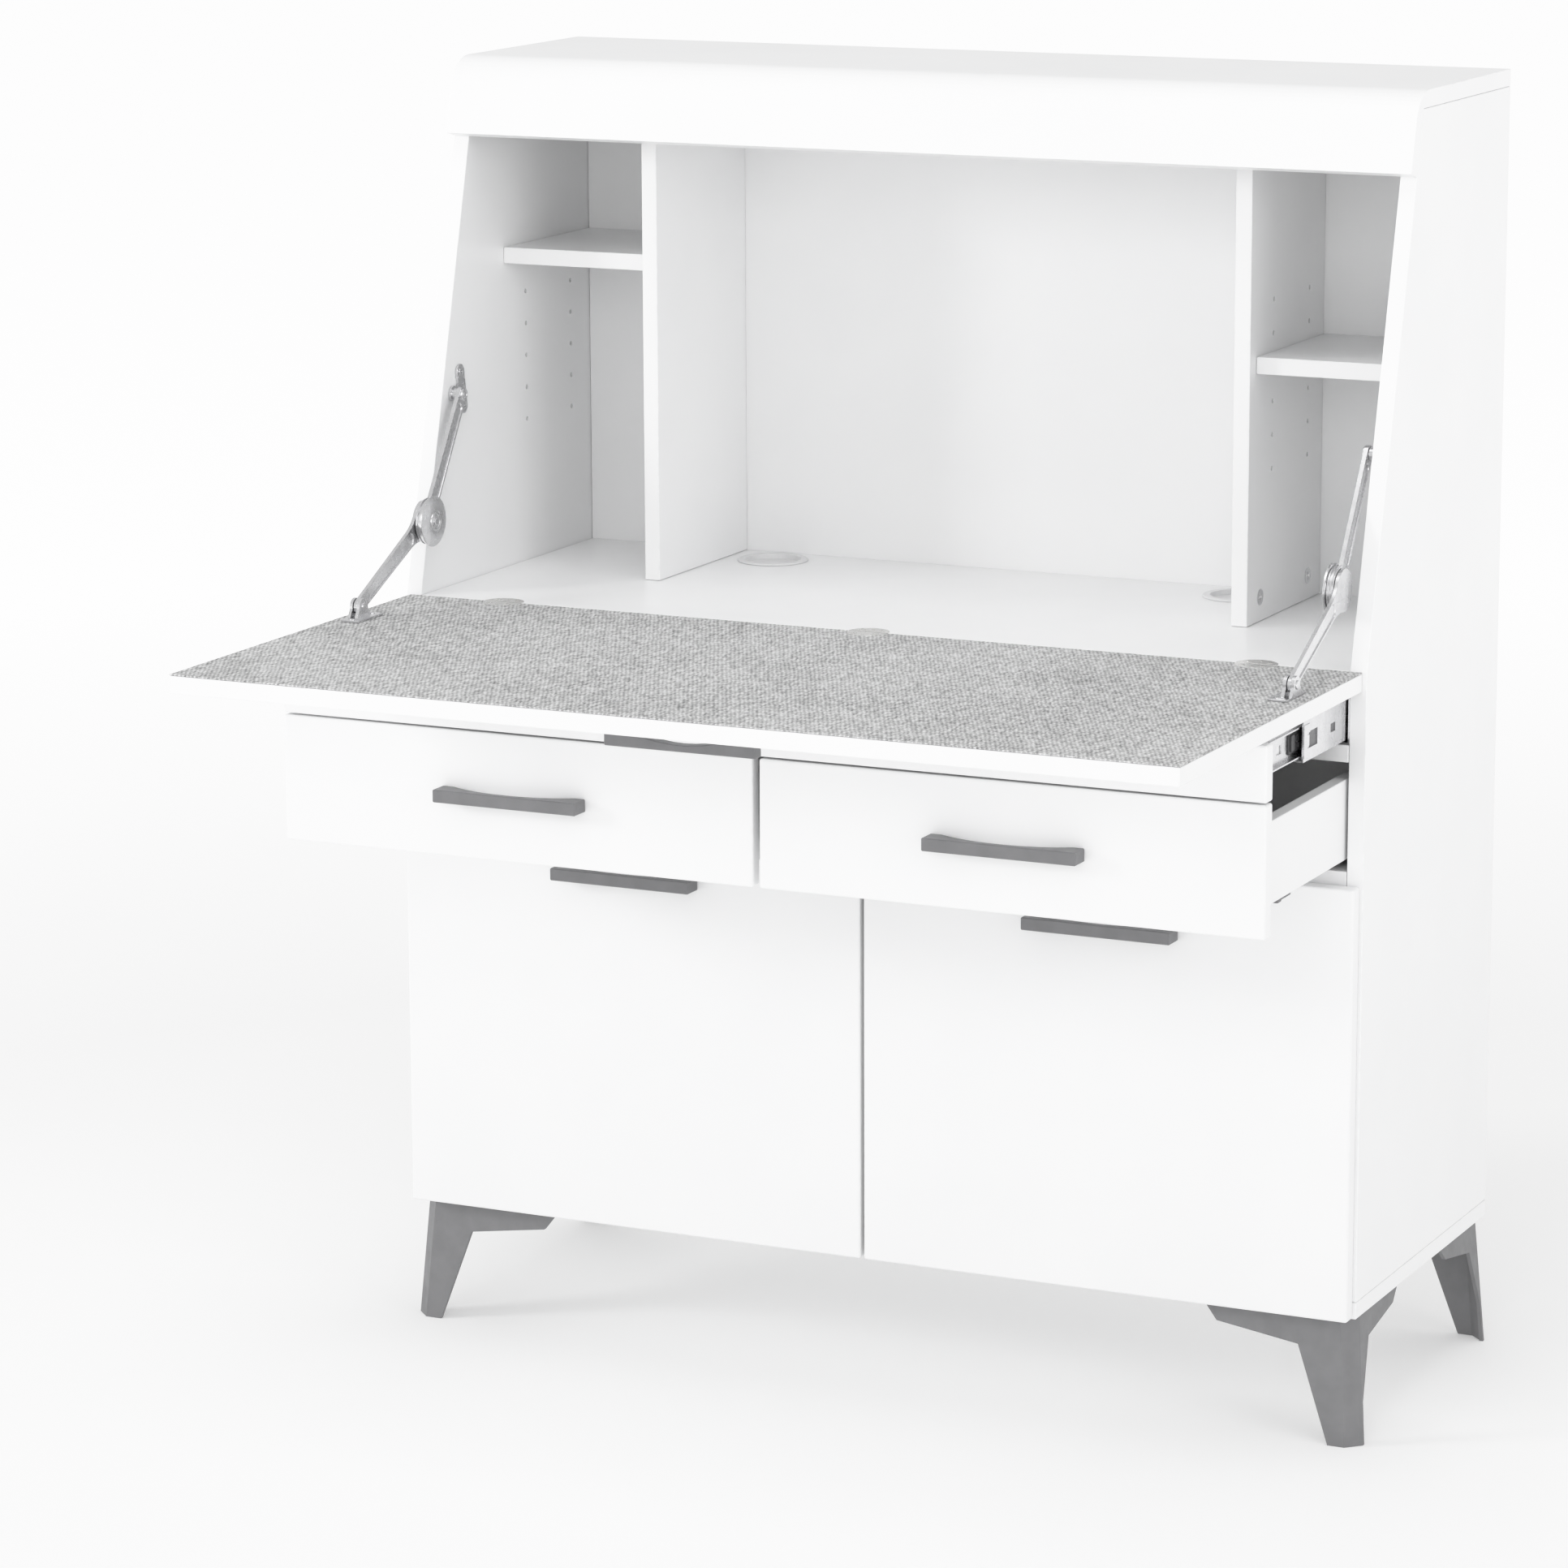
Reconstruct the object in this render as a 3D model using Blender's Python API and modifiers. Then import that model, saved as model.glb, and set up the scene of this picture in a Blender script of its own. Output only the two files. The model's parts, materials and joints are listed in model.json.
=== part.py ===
"""Secretary desk: a white cabinet on four angled feet.

A fall flap opens to a writing surface held by two folding stays. Under it are a
shallow pull-out tray on ball-bearing slides, two drawers and two doors.
Metres, +Z up. The front faces -Y, X = 0 is the middle and the feet stand on Z = 0.
"""
import math

import bmesh
import bpy
from mathutils import Matrix, Vector

MM = 0.001

# Overall case
WIDTH = 984 * MM
DEPTH = 373 * MM
HEIGHT = 1240 * MM
BOARD = 16 * MM
FOOT_HEIGHT = 124 * MM
GAP = 0.3 * MM
CASE_FRONT = 0.5 * MM
BACK_INNER = 361 * MM
BACK_THICKNESS = 8 * MM
EDGE_RADIUS = 0.8 * MM
CUT_MARGIN = 5 * MM
WELD_DISTANCE = 0.05 * MM

# Levels, measured from the floor
DESK_TOP = 730 * MM
UPPER_CROSS_TOP = 662 * MM
LOWER_CROSS_TOP = 545 * MM
LEFT_SHELF_TOP = 1048.5 * MM
RIGHT_SHELF_TOP = 983 * MM

# Sloped front above the writing level
SLOPE = 0.2562
SLOPE_ANGLE = math.atan(SLOPE)
FASCIA_THICKNESS = 16.5 * MM
FASCIA_BOTTOM = 1163.6 * MM
CAP_RADIUS = 36 * MM

# Upper compartments
DIVIDER_INNER_X = 299 * MM
DIVIDER_FRONT = 163 * MM
SHELF_FRONT = 178.5 * MM
PIN_HOLE_PITCH = 32 * MM
PIN_HOLE_FIRST = 872 * MM
PIN_HOLE_ROWS = 6
PIN_HOLE_COLUMNS = (224 * MM, 320 * MM)
PIN_HOLE_RADIUS = 2.5 * MM
PIN_HOLE_DEPTH = 10 * MM

# Fronts
FRONT_THICKNESS = 16 * MM
FRONT_HALF_WIDTH = 489 * MM
FRONT_RADIUS = 2.2 * MM
DRAWER_HALF_GAP = 3.5 * MM
DOOR_HALF_GAP = 2 * MM
DRAWER_FRONT_Z = (536.3 * MM, 656 * MM)
DOOR_FRONT_Z = (124.5 * MM, 532.5 * MM)
PULLOUT_FRONT_Z = (657.8 * MM, 708.5 * MM)
EXTENSION = 228 * MM

# Flap
FLAP_HALF_WIDTH = 487.7 * MM
FLAP_LENGTH = 446 * MM  # 1.6 mm short of the fascia when closed
FLAP_THICKNESS = 18 * MM
SURFACE_THICKNESS = 1 * MM
HINGE_GAP = 0.5 * MM
HINGE_RADIUS = 20 * MM
HINGE_DEPTH = 12 * MM
HINGE_X = (-386 * MM, 0.0, 386 * MM)

# Handles
HANDLE_LENGTH = 148 * MM
HANDLE_FOOT = 12 * MM
HANDLE_WIDTH = 12 * MM
HANDLE_STANDOFF = 21 * MM
HANDLE_GRIP = 6 * MM
HANDLE_RADIUS = 0.9 * MM
FLAP_HANDLE_Y = -391 * MM
DRAWER_HANDLE_Z = 597 * MM
DOOR_HANDLE_Z = 475 * MM

# Folding stays: pivots in the YZ plane
STAY_WALL_PIVOT = (68.4 * MM, 917.6 * MM)
STAY_KNUCKLE = (-3.7 * MM, 804.0 * MM)
STAY_FLAP_PIVOT = (-133.0 * MM, 741.5 * MM)
STAY_DISC_RADIUS = 24.5 * MM
STAY_ARM_WIDTH = 15 * MM
STAY_PLATE_X = (473.2 * MM, 475.7 * MM)
STAY_LOWER_X = (467.7 * MM, 471.2 * MM)
STAY_UPPER_X = (463.2 * MM, 467.4 * MM)
STAY_DISC_X = (456.0 * MM, 467.4 * MM)
STAY_CHEEKS_X = ((463.9 * MM, 467.2 * MM), (471.7 * MM, 474.6 * MM))

# Pull-out tray and its slides
SLIDE_LENGTH = 350 * MM
SLIDE_FRONT = 2 * MM
SLIDE_CENTRE_Z = 685.2 * MM
SLIDE_SHEET = 1.4 * MM
TRAY_HALF_WIDTH = 462.8 * MM
TRAY_Z = (668 * MM, 704 * MM)
TRAY_WALL = 12 * MM
TRAY_FLOOR = 8 * MM
TRAY_DEPTH = 330 * MM

# Drawers
BOX_X = (11 * MM, 473 * MM)
BOX_Z = (555 * MM, 630 * MM)
BOX_WALL = 12 * MM
BOX_DEPTH = 330 * MM
BOX_FLOOR_Z = (567 * MM, 571 * MM)
RUNNER_WIDTH = 20 * MM
RUNNER_Z = (545.3 * MM, 566.6 * MM)

# Feet: plan of the angle at its top, leaning outwards towards the floor
FOOT_SHEET = 4 * MM
FOOT_REACH_X = 333 * MM
FOOT_REACH_Y = 135 * MM
FOOT_LEAN = Vector((9 * MM, -9 * MM))
FOOT_RIDGE_FRONT = Vector((474.7 * MM, 7 * MM))
FOOT_RIDGE_SIDE = Vector((488.5 * MM, 20.5 * MM))
FOOT_PLATE_INSET = 1.4 * MM
FOOT_PLATE_STEP = 1.5 * MM
FOOT_PLATE_MARGIN = 22 * MM

# The open desk reaches from the flap's edge to the toes of the back feet
BACK_REACH = DEPTH + CASE_FRONT - FOOT_RIDGE_FRONT.y - FOOT_LEAN.y

# Cable outlets in the writing deck
OUTLET_X = 249 * MM
OUTLET_Y = 316 * MM
OUTLET_RADIUS = 35.5 * MM
OUTLET_BODY = 30 * MM


def remove_everything():
    for old in list(bpy.data.objects):
        bpy.data.objects.remove(old, do_unlink=True)


def new_collection(name):
    collection = bpy.data.collections.new(name)
    bpy.context.scene.collection.children.link(collection)
    return collection


remove_everything()
PARTS = new_collection("secretary_desk")
CUTTERS = new_collection("cutters")


def new_material(name, colour, roughness, metallic=0.0):
    material = bpy.data.materials.new(name)
    material.use_nodes = True
    shader = material.node_tree.nodes["Principled BSDF"]
    shader.inputs["Base Color"].default_value = (*colour, 1.0)
    shader.inputs["Roughness"].default_value = roughness
    shader.inputs["Metallic"].default_value = metallic
    material.diffuse_color = (*colour, 1.0)
    return material


WHITE = ((0.86, 0.865, 0.87), 0.38, 0.0)
DARK_BOARD = ((0.3, 0.3, 0.31), 0.5, 0.0)
GREY_METAL = ((0.245, 0.245, 0.25), 0.42, 0.7)
HANDLE_METAL = ((0.24, 0.24, 0.245), 0.45, 0.6)
ZINC = ((0.62, 0.62, 0.63), 0.3, 1.0)
NICKEL = ((0.7, 0.7, 0.7), 0.22, 1.0)
WEAVE = ((0.42, 0.42, 0.42), 0.85, 0.0)
OUTLET_PLASTIC = ((0.72, 0.72, 0.73), 0.4, 0.0)


def finish(part, name, look, group, parent):
    """Name the part, give it its own material and hang it on its parent."""
    part.name = name
    part.data.name = name
    part.data.materials.clear()
    part.data.materials.append(new_material(name, *look))
    for old in list(part.users_collection):
        old.objects.unlink(part)
    group.objects.link(part)
    if parent is not None:
        part.parent = parent
        part.location = part.location - parent.location
    return part


def joint_empty(name, x, y, z, parent=None):
    """An empty on the joint's axis, which the moving parts hang on."""
    empty = bpy.data.objects.new(name, None)
    empty.empty_display_size = 0.03
    PARTS.objects.link(empty)
    empty.location = (x, y, z)
    if parent is not None:
        empty.parent = parent
        empty.location = empty.location - parent.location
    return empty


def add_bevel(part, width, segments=2, angle=35):
    bevel = part.modifiers.new("edges", "BEVEL")
    bevel.width = width
    bevel.segments = segments
    bevel.limit_method = "ANGLE"
    bevel.angle_limit = math.radians(angle)
    return bevel


def box(name, look, x, y, z, parent=None, radius=EDGE_RADIUS, segments=2):
    """A board or block between the given X, Y and Z limits."""
    centre = Vector((sum(x) / 2, sum(y) / 2, sum(z) / 2))
    bpy.ops.mesh.primitive_cube_add(size=1, location=centre)
    part = bpy.context.object
    part.data.transform(Matrix.Diagonal((x[1] - x[0], y[1] - y[0], z[1] - z[0], 1)))
    if radius:
        add_bevel(part, radius, segments)
    return finish(part, name, look, PARTS, parent)


def solid_from_outline(points, thickness, plane):
    """Extrude a closed outline by its thickness.

    plane YZ extrudes along X, XZ along Y and XY along Z.
    """
    curve = bpy.data.curves.new("outline", "CURVE")
    curve.dimensions = "2D"
    curve.fill_mode = "BOTH"
    curve.extrude = thickness / 2
    spline = curve.splines.new("POLY")
    spline.points.add(len(points) - 1)
    for point, (u, v) in zip(spline.points, points):
        point.co = (u, v, 0, 1)
    spline.use_cyclic_u = True
    shape = bpy.data.objects.new("outline", curve)
    PARTS.objects.link(shape)
    bpy.context.view_layer.update()
    evaluated = shape.evaluated_get(bpy.context.evaluated_depsgraph_get())
    mesh = bpy.data.meshes.new_from_object(evaluated)
    bpy.data.objects.remove(shape, do_unlink=True)
    turns = {
        "YZ": Matrix(((0, 0, 1, 0), (1, 0, 0, 0), (0, 1, 0, 0), (0, 0, 0, 1))),
        "XZ": Matrix(((1, 0, 0, 0), (0, 0, -1, 0), (0, 1, 0, 0), (0, 0, 0, 1))),
        "XY": Matrix.Identity(4),
    }
    mesh.transform(turns[plane])
    work = bmesh.new()
    work.from_mesh(mesh)
    bmesh.ops.remove_doubles(work, verts=work.verts, dist=0.00002)
    bmesh.ops.recalc_face_normals(work, faces=work.faces)
    work.to_mesh(mesh)
    work.free()
    return mesh


def outline_part(name, look, points, thickness, plane, location, parent=None, radius=0.0, segments=2):
    mesh = solid_from_outline(points, thickness, plane)
    part = bpy.data.objects.new(name, mesh)
    PARTS.objects.link(part)
    part.location = location
    if radius:
        add_bevel(part, radius, segments)
    return finish(part, name, look, PARTS, parent)


def smooth(part, angle=32):
    part.data.shade_smooth()
    part.data.set_sharp_from_angle(angle=math.radians(angle))


def hide_cutter(cutter, name):
    cutter.name = name
    for old in list(cutter.users_collection):
        old.objects.unlink(cutter)
    CUTTERS.objects.link(cutter)
    cutter.hide_render = True
    cutter.display_type = "WIRE"
    return cutter


def box_cutter(name, x, y, z):
    centre = (sum(x) / 2, sum(y) / 2, sum(z) / 2)
    bpy.ops.mesh.primitive_cube_add(size=1, location=centre)
    cutter = bpy.context.object
    cutter.data.transform(Matrix.Diagonal((x[1] - x[0], y[1] - y[0], z[1] - z[0], 1)))
    return hide_cutter(cutter, name)


def cylinder_cutter(name, radius, depth, location, axis="Z", sides=32):
    turns = {"X": (0, math.pi / 2, 0), "Y": (math.pi / 2, 0, 0), "Z": (0, 0, 0)}
    bpy.ops.mesh.primitive_cylinder_add(
        vertices=sides, radius=radius, depth=depth, location=location, rotation=turns[axis]
    )
    return hide_cutter(bpy.context.object, name)


def outline_cutter(name, points, thickness, plane, location):
    cutter = bpy.data.objects.new(name, solid_from_outline(points, thickness, plane))
    PARTS.objects.link(cutter)
    cutter.location = location
    return hide_cutter(cutter, name)


def joined_cutter(name, pieces):
    """One cutter from several that don't touch, so that a part needs one Boolean."""
    work = bmesh.new()
    for piece in pieces:
        bpy.context.view_layer.update()
        shell = piece.data.copy()
        shell.transform(piece.matrix_world)
        work.from_mesh(shell)
        bpy.data.meshes.remove(shell)
        bpy.data.objects.remove(piece, do_unlink=True)
    mesh = bpy.data.meshes.new(name)
    work.to_mesh(mesh)
    work.free()
    cutter = bpy.data.objects.new(name, mesh)
    PARTS.objects.link(cutter)
    return hide_cutter(cutter, name)


def weld(part):
    """Close the hairline edges that a Boolean leaves where faces meet."""
    modifier = part.modifiers.new("weld", "WELD")
    modifier.merge_threshold = WELD_DISTANCE


def boolean(part, tool, operation="DIFFERENCE"):
    change = part.modifiers.new(tool.name, "BOOLEAN")
    change.operation = operation
    change.solver = "EXACT"
    change.object = tool


def arc(centre, radius, start, end, steps):
    """Points of an arc, angles in degrees."""
    points = []
    for step in range(steps + 1):
        angle = math.radians(start + (end - start) * step / steps)
        points.append((centre[0] + radius * math.cos(angle), centre[1] + radius * math.sin(angle)))
    return points


def slope_y(z):
    """Y of the sloped front edge at height z."""
    return CASE_FRONT + SLOPE * (z - DESK_TOP)


# ---------------------------------------------------------------- case

def pin_holes(name, x, side):
    """Two columns of shelf-pin holes drilled into the face at x, towards side."""
    pieces = []
    for row in range(PIN_HOLE_ROWS):
        for column, y in enumerate(PIN_HOLE_COLUMNS):
            z = PIN_HOLE_FIRST + row * PIN_HOLE_PITCH
            centre_x = x + side * (PIN_HOLE_DEPTH / 2 - 1 * MM)
            place = (centre_x, y, z)
            length = PIN_HOLE_DEPTH + 2 * MM
            piece = cylinder_cutter(f"{name}_{row}_{column}", PIN_HOLE_RADIUS, length, place, "X", 10)
            pieces.append(piece)
    return joined_cutter(name, pieces)


def side_panels():
    bottom = FOOT_HEIGHT + BOARD + GAP
    top = HEIGHT - BOARD - GAP
    outline = [
        (CASE_FRONT, bottom), (DEPTH, bottom), (DEPTH, top),
        (slope_y(top), top), (CASE_FRONT, DESK_TOP),
    ]
    for side, label in ((-1, "left"), (1, "right")):
        x = side * (WIDTH - BOARD) / 2
        name = f"side_panel_{label}"
        panel = outline_part(name, WHITE, outline, BOARD, "YZ", (x, 0, 0), radius=EDGE_RADIUS)
        boolean(panel, pin_holes(f"pins_side_{label}", side * (WIDTH / 2 - BOARD), side))


def top_cap():
    """Top board whose front bends down over the side panels as a short fascia."""
    normal = Vector((-math.cos(SLOPE_ANGLE), math.sin(SLOPE_ANGLE)))
    inner_bottom = Vector((slope_y(FASCIA_BOTTOM), FASCIA_BOTTOM)) + normal * GAP
    outer_bottom = inner_bottom + normal * FASCIA_THICKNESS
    underside = HEIGHT - BOARD
    inner_top_y = inner_bottom.x + SLOPE * (underside - inner_bottom.y)
    outer_corner_y = outer_bottom.x + SLOPE * (HEIGHT - outer_bottom.y)
    turn = math.pi / 2 - SLOPE_ANGLE
    tangent = CAP_RADIUS * math.tan(turn / 2)
    centre = (outer_corner_y + tangent, HEIGHT - CAP_RADIUS)
    bend = arc(centre, CAP_RADIUS, 90, 180 - math.degrees(SLOPE_ANGLE), 9)
    outline = [(DEPTH, underside), (DEPTH, HEIGHT)] + bend
    outline += [tuple(outer_bottom), tuple(inner_bottom), (inner_top_y, underside)]
    cap = outline_part("top_cap", WHITE, outline, WIDTH, "YZ", (0, 0, 0), radius=EDGE_RADIUS)
    smooth(cap)


def horizontal_boards():
    inner = WIDTH / 2 - BOARD - GAP
    depth = (CASE_FRONT, BACK_INNER - GAP)
    levels = {"cross_board_upper": UPPER_CROSS_TOP, "cross_board_lower": LOWER_CROSS_TOP}
    for name, top in levels.items():
        look = DARK_BOARD if name.endswith("lower") else WHITE
        box(name, look, (-inner, inner), depth, (top - BOARD, top))
    floor = (FOOT_HEIGHT, FOOT_HEIGHT + BOARD)
    box("bottom_board", WHITE, (-WIDTH / 2, WIDTH / 2), (CASE_FRONT, DEPTH), floor)
    back = (BACK_INNER, BACK_INNER + BACK_THICKNESS)
    height = (floor[1] + GAP, HEIGHT - BOARD - GAP)
    box("back_panel", WHITE, (-inner, inner), back, height)


def hinge_pocket(x):
    """Round pocket for one flap hinge, across the joint of deck and flap."""
    depth = HINGE_DEPTH + GAP
    place = (x, 0, DESK_TOP - depth / 2 + 1 * MM)
    return cylinder_cutter(f"hinge_pocket_{x:.3f}", HINGE_RADIUS + GAP, depth + 2 * MM, place, "Z", 48)


def writing_deck():
    inner = WIDTH / 2 - BOARD - GAP
    depth = (CASE_FRONT, BACK_INNER - GAP)
    deck = box("writing_deck", WHITE, (-inner, inner), depth, (DESK_TOP - BOARD, DESK_TOP))
    cuts = [hinge_pocket(x) for x in HINGE_X]
    for side in (-1, 1):
        place = (side * OUTLET_X, OUTLET_Y, DESK_TOP - BOARD / 2)
        cuts.append(cylinder_cutter(f"outlet_hole_{side}", OUTLET_BODY + GAP, BOARD * 2, place, "Z", 48))
    boolean(deck, joined_cutter("deck_cuts", cuts))


def upper_compartments():
    """Two dividers and an adjustable shelf in each outer bay."""
    depth = (DIVIDER_FRONT, BACK_INNER - GAP)
    height = (DESK_TOP + GAP, HEIGHT - BOARD - GAP)
    outer_x = DIVIDER_INNER_X + BOARD
    shelf_depth = (SHELF_FRONT, BACK_INNER - GAP)
    tops = {"left": LEFT_SHELF_TOP, "right": RIGHT_SHELF_TOP}
    for side, label in ((-1, "left"), (1, "right")):
        x = sorted((side * DIVIDER_INNER_X, side * outer_x))
        divider = box(f"divider_{label}", WHITE, x, depth, height)
        boolean(divider, pin_holes(f"pins_divider_{label}", side * outer_x, -side))
        shelf_x = sorted((side * (outer_x + GAP), side * (WIDTH / 2 - BOARD - GAP)))
        top = tops[label]
        box(f"shelf_{label}", WHITE, shelf_x, shelf_depth, (top - BOARD, top))


def partitions():
    half = BOARD / 2
    depth = (CASE_FRONT, BACK_INNER - GAP)
    drawer_bay = (LOWER_CROSS_TOP + GAP, UPPER_CROSS_TOP - BOARD - GAP)
    cupboard = (FOOT_HEIGHT + BOARD + GAP, LOWER_CROSS_TOP - BOARD - GAP)
    box("drawer_partition", WHITE, (-half, half), depth, drawer_bay)
    box("cupboard_partition", WHITE, (-half, half), depth, cupboard)


def mirrored_mesh(mesh, name, flip_x, flip_y):
    """Copy of a mesh mirrored in X and/or Y."""
    copy = mesh.copy()
    copy.name = name
    copy.transform(Matrix.Diagonal((-1 if flip_x else 1, -1 if flip_y else 1, 1, 1)))
    if flip_x != flip_y:
        copy.flip_normals()
    return copy


def foot_mesh():
    """One angle foot: two long flanges joined by a bevelled corner, on a top plate."""
    height = FOOT_HEIGHT - GAP
    front = FOOT_RIDGE_FRONT
    side = FOOT_RIDGE_SIDE
    inset = FOOT_SHEET * math.tan(math.pi / 8)
    plan = [
        (FOOT_REACH_X, front.y), tuple(front), tuple(side),
        (side.x, FOOT_REACH_Y), (side.x - FOOT_SHEET, FOOT_REACH_Y),
        (side.x - FOOT_SHEET, side.y + inset),
        (front.x - inset, front.y + FOOT_SHEET),
        (FOOT_REACH_X, front.y + FOOT_SHEET),
    ]
    flange_height = height - FOOT_PLATE_STEP
    body = bpy.data.objects.new("foot_body", solid_from_outline(plan, flange_height, "XY"))
    body.location = (0, 0, flange_height / 2)
    PARTS.objects.link(body)
    low = -10 * MM
    above = height + 10 * MM
    front_cut = [
        (320 * MM, low), (458 * MM, low), (458 * MM, 0), (432 * MM, 92 * MM),
        (352 * MM, 104 * MM), (331 * MM, above), (320 * MM, above),
    ]
    side_cut = [
        (24 * MM, low), (24 * MM, 40 * MM), (44 * MM, 97 * MM), (112 * MM, 109 * MM),
        (137 * MM, above), (150 * MM, above), (150 * MM, low),
    ]
    plate_end_x = FOOT_REACH_X + FOOT_PLATE_MARGIN
    plate_end_y = FOOT_REACH_Y - FOOT_PLATE_MARGIN
    plate_side_x = side.x - FOOT_PLATE_INSET
    plate = [
        (plate_end_x, front.y + FOOT_PLATE_INSET), (front.x - FOOT_PLATE_INSET / 2, front.y + FOOT_PLATE_INSET),
        (plate_side_x, side.y + FOOT_PLATE_INSET / 2), (plate_side_x, plate_end_y),
        (side.x - 20 * MM, plate_end_y), (plate_end_x, 26 * MM),
    ]
    plate_place = (0, 0, height - FOOT_SHEET / 2)
    boolean(body, outline_cutter("foot_front_cut", front_cut, 60 * MM, "XZ", (0, 20 * MM, 0)))
    boolean(body, outline_cutter("foot_side_cut", side_cut, 40 * MM, "YZ", (490 * MM, 0, 0)))
    boolean(body, outline_cutter("foot_plate", plate, FOOT_SHEET, "XY", plate_place), "UNION")
    bpy.context.view_layer.update()
    evaluated = body.evaluated_get(bpy.context.evaluated_depsgraph_get())
    mesh = bpy.data.meshes.new_from_object(evaluated)
    mesh.transform(Matrix.Translation((0, 0, flange_height / 2)))
    bpy.data.objects.remove(body, do_unlink=True)
    cleaned = bmesh.new()
    cleaned.from_mesh(mesh)
    bmesh.ops.remove_doubles(cleaned, verts=cleaned.verts, dist=WELD_DISTANCE)
    bmesh.ops.dissolve_limit(
        cleaned, angle_limit=math.radians(0.5), verts=cleaned.verts, edges=cleaned.edges
    )
    cleaned.to_mesh(mesh)
    cleaned.free()
    for vertex in mesh.vertices:
        drop = 1 - vertex.co.z / height
        vertex.co.x += FOOT_LEAN.x * drop
        vertex.co.y += FOOT_LEAN.y * drop
    return mesh


def feet():
    mesh = foot_mesh()
    for flip_x, side in ((True, "left"), (False, "right")):
        for flip_y, end in ((False, "front"), (True, "back")):
            name = f"foot_{end}_{side}"
            part = bpy.data.objects.new(name, mirrored_mesh(mesh, name, flip_x, flip_y))
            PARTS.objects.link(part)
            if flip_y:
                part.location = (0, DEPTH + CASE_FRONT, 0)
            add_bevel(part, 0.25 * MM, 1)
            finish(part, name, GREY_METAL, PARTS, None)
    bpy.data.meshes.remove(mesh)


def cable_outlets():
    """Round outlets with a sunk cover that has a crescent slot."""
    profile = [
        (0, -3), (27, -3), (28.2, 1.8), (34.5, 1.8), (35.5, 1.0), (35.5, 0.3), (30, 0.3),
        (30, -18), (27.5, -18), (27.5, -6), (0, -6),
    ]
    slot = arc((0, 0), 22 * MM, 205, 335, 10) + arc((0, 9 * MM), 24 * MM, 318, 222, 10)
    for side, label in ((-1, "left"), (1, "right")):
        mesh = bpy.data.meshes.new("profile")
        points = [(r * MM, 0, z * MM) for r, z in profile]
        mesh.from_pydata(points, [(i, i + 1) for i in range(len(points) - 1)], [])
        name = f"cable_outlet_{label}"
        part = bpy.data.objects.new(name, mesh)
        PARTS.objects.link(part)
        part.location = (side * OUTLET_X, OUTLET_Y, DESK_TOP)
        screw = part.modifiers.new("turn", "SCREW")
        screw.steps = 48
        screw.render_steps = 48
        screw.use_merge_vertices = True
        screw.merge_threshold = 0.00005
        screw.use_normal_calculate = False
        place = (side * OUTLET_X, OUTLET_Y - 2 * MM, DESK_TOP - 4 * MM)
        boolean(part, outline_cutter(f"slot_{label}", slot, 12 * MM, "XY", place))
        weld(part)
        finish(part, name, OUTLET_PLASTIC, PARTS, None)
        smooth(part)


# ---------------------------------------------------------------- flap

def handle_outline():
    """Plan of a bow handle: flat face at v = 0, feet at v = the standoff."""
    half = HANDLE_LENGTH / 2
    chord = half - HANDLE_FOOT
    rise = HANDLE_STANDOFF - HANDLE_GRIP
    radius = (chord ** 2 + rise ** 2) / (2 * rise)
    span = math.degrees(math.asin(chord / radius))
    bow = arc((0, HANDLE_GRIP + radius), radius, 270 - span, 270 + span, 12)
    return [(-half, 0), (half, 0), (half, HANDLE_STANDOFF)] + bow[::-1] + [(-half, HANDLE_STANDOFF)]


def bow_handle(name, outline, plane, place, parent):
    part = outline_part(name, HANDLE_METAL, outline, HANDLE_WIDTH, plane, place, parent, HANDLE_RADIUS, 1)
    smooth(part)


def front_handle(name, x, face_y, z, parent):
    """Handle on an upright front whose face is at face_y."""
    bow_handle(name, handle_outline(), "XY", (x, face_y - GAP - HANDLE_STANDOFF, z), parent)


def flap(axis):
    x = (-FLAP_HALF_WIDTH, FLAP_HALF_WIDTH)
    y = (-FLAP_LENGTH, -HINGE_GAP)
    top = DESK_TOP - SURFACE_THICKNESS
    board = box("flap_board", WHITE, x, y, (DESK_TOP - FLAP_THICKNESS, top - GAP), axis)
    surface = box("writing_surface", WEAVE, x, y, (top, DESK_TOP), axis, radius=0.25 * MM, segments=1)
    for part, label in ((board, "board"), (surface, "surface")):
        pockets = [hinge_pocket(hinge_x) for hinge_x in HINGE_X]
        boolean(part, joined_cutter(f"flap_pockets_{label}", pockets))
    underside = DESK_TOP - FLAP_THICKNESS - GAP
    outline = [(u, v - HANDLE_STANDOFF) for u, v in handle_outline()]
    bow_handle("flap_handle", outline, "XZ", (0, FLAP_HANDLE_Y, underside), axis)


def flap_hinges(axis):
    """Round drop-in hinges: one half in the deck, the other in the flap."""
    gap = HINGE_GAP + 0.1 * MM
    lean = math.degrees(math.asin(gap / HINGE_RADIUS))
    labels = ("left", "middle", "right")
    for x, label in zip(HINGE_X, labels):
        for side, part_label, parent in ((1, "deck", None), (-1, "flap", axis)):
            outline = arc((0, 0), HINGE_RADIUS, lean, 180 - lean, 20)
            outline = [(u, side * v) for u, v in outline]
            place = (x, 0, DESK_TOP - HINGE_DEPTH / 2)
            name = f"flap_hinge_{label}_{part_label}_half"
            half = outline_part(name, NICKEL, outline, HINGE_DEPTH, "XY", place, parent, 0.35 * MM, 1)
            smooth(half)


# ---------------------------------------------------------------- folding stays

def link_outline(start, end, start_radius, end_radius):
    """Flat link around two pivots, with straight tangent sides."""
    run = Vector(end) - Vector(start)
    heading = math.degrees(math.atan2(run.y, run.x))
    spread = math.degrees(math.acos((start_radius - end_radius) / run.length))
    points = arc(start, start_radius, heading + spread, heading + 360 - spread, 12)
    points += arc(end, end_radius, heading - spread, heading + spread, 12)
    return points


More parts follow.
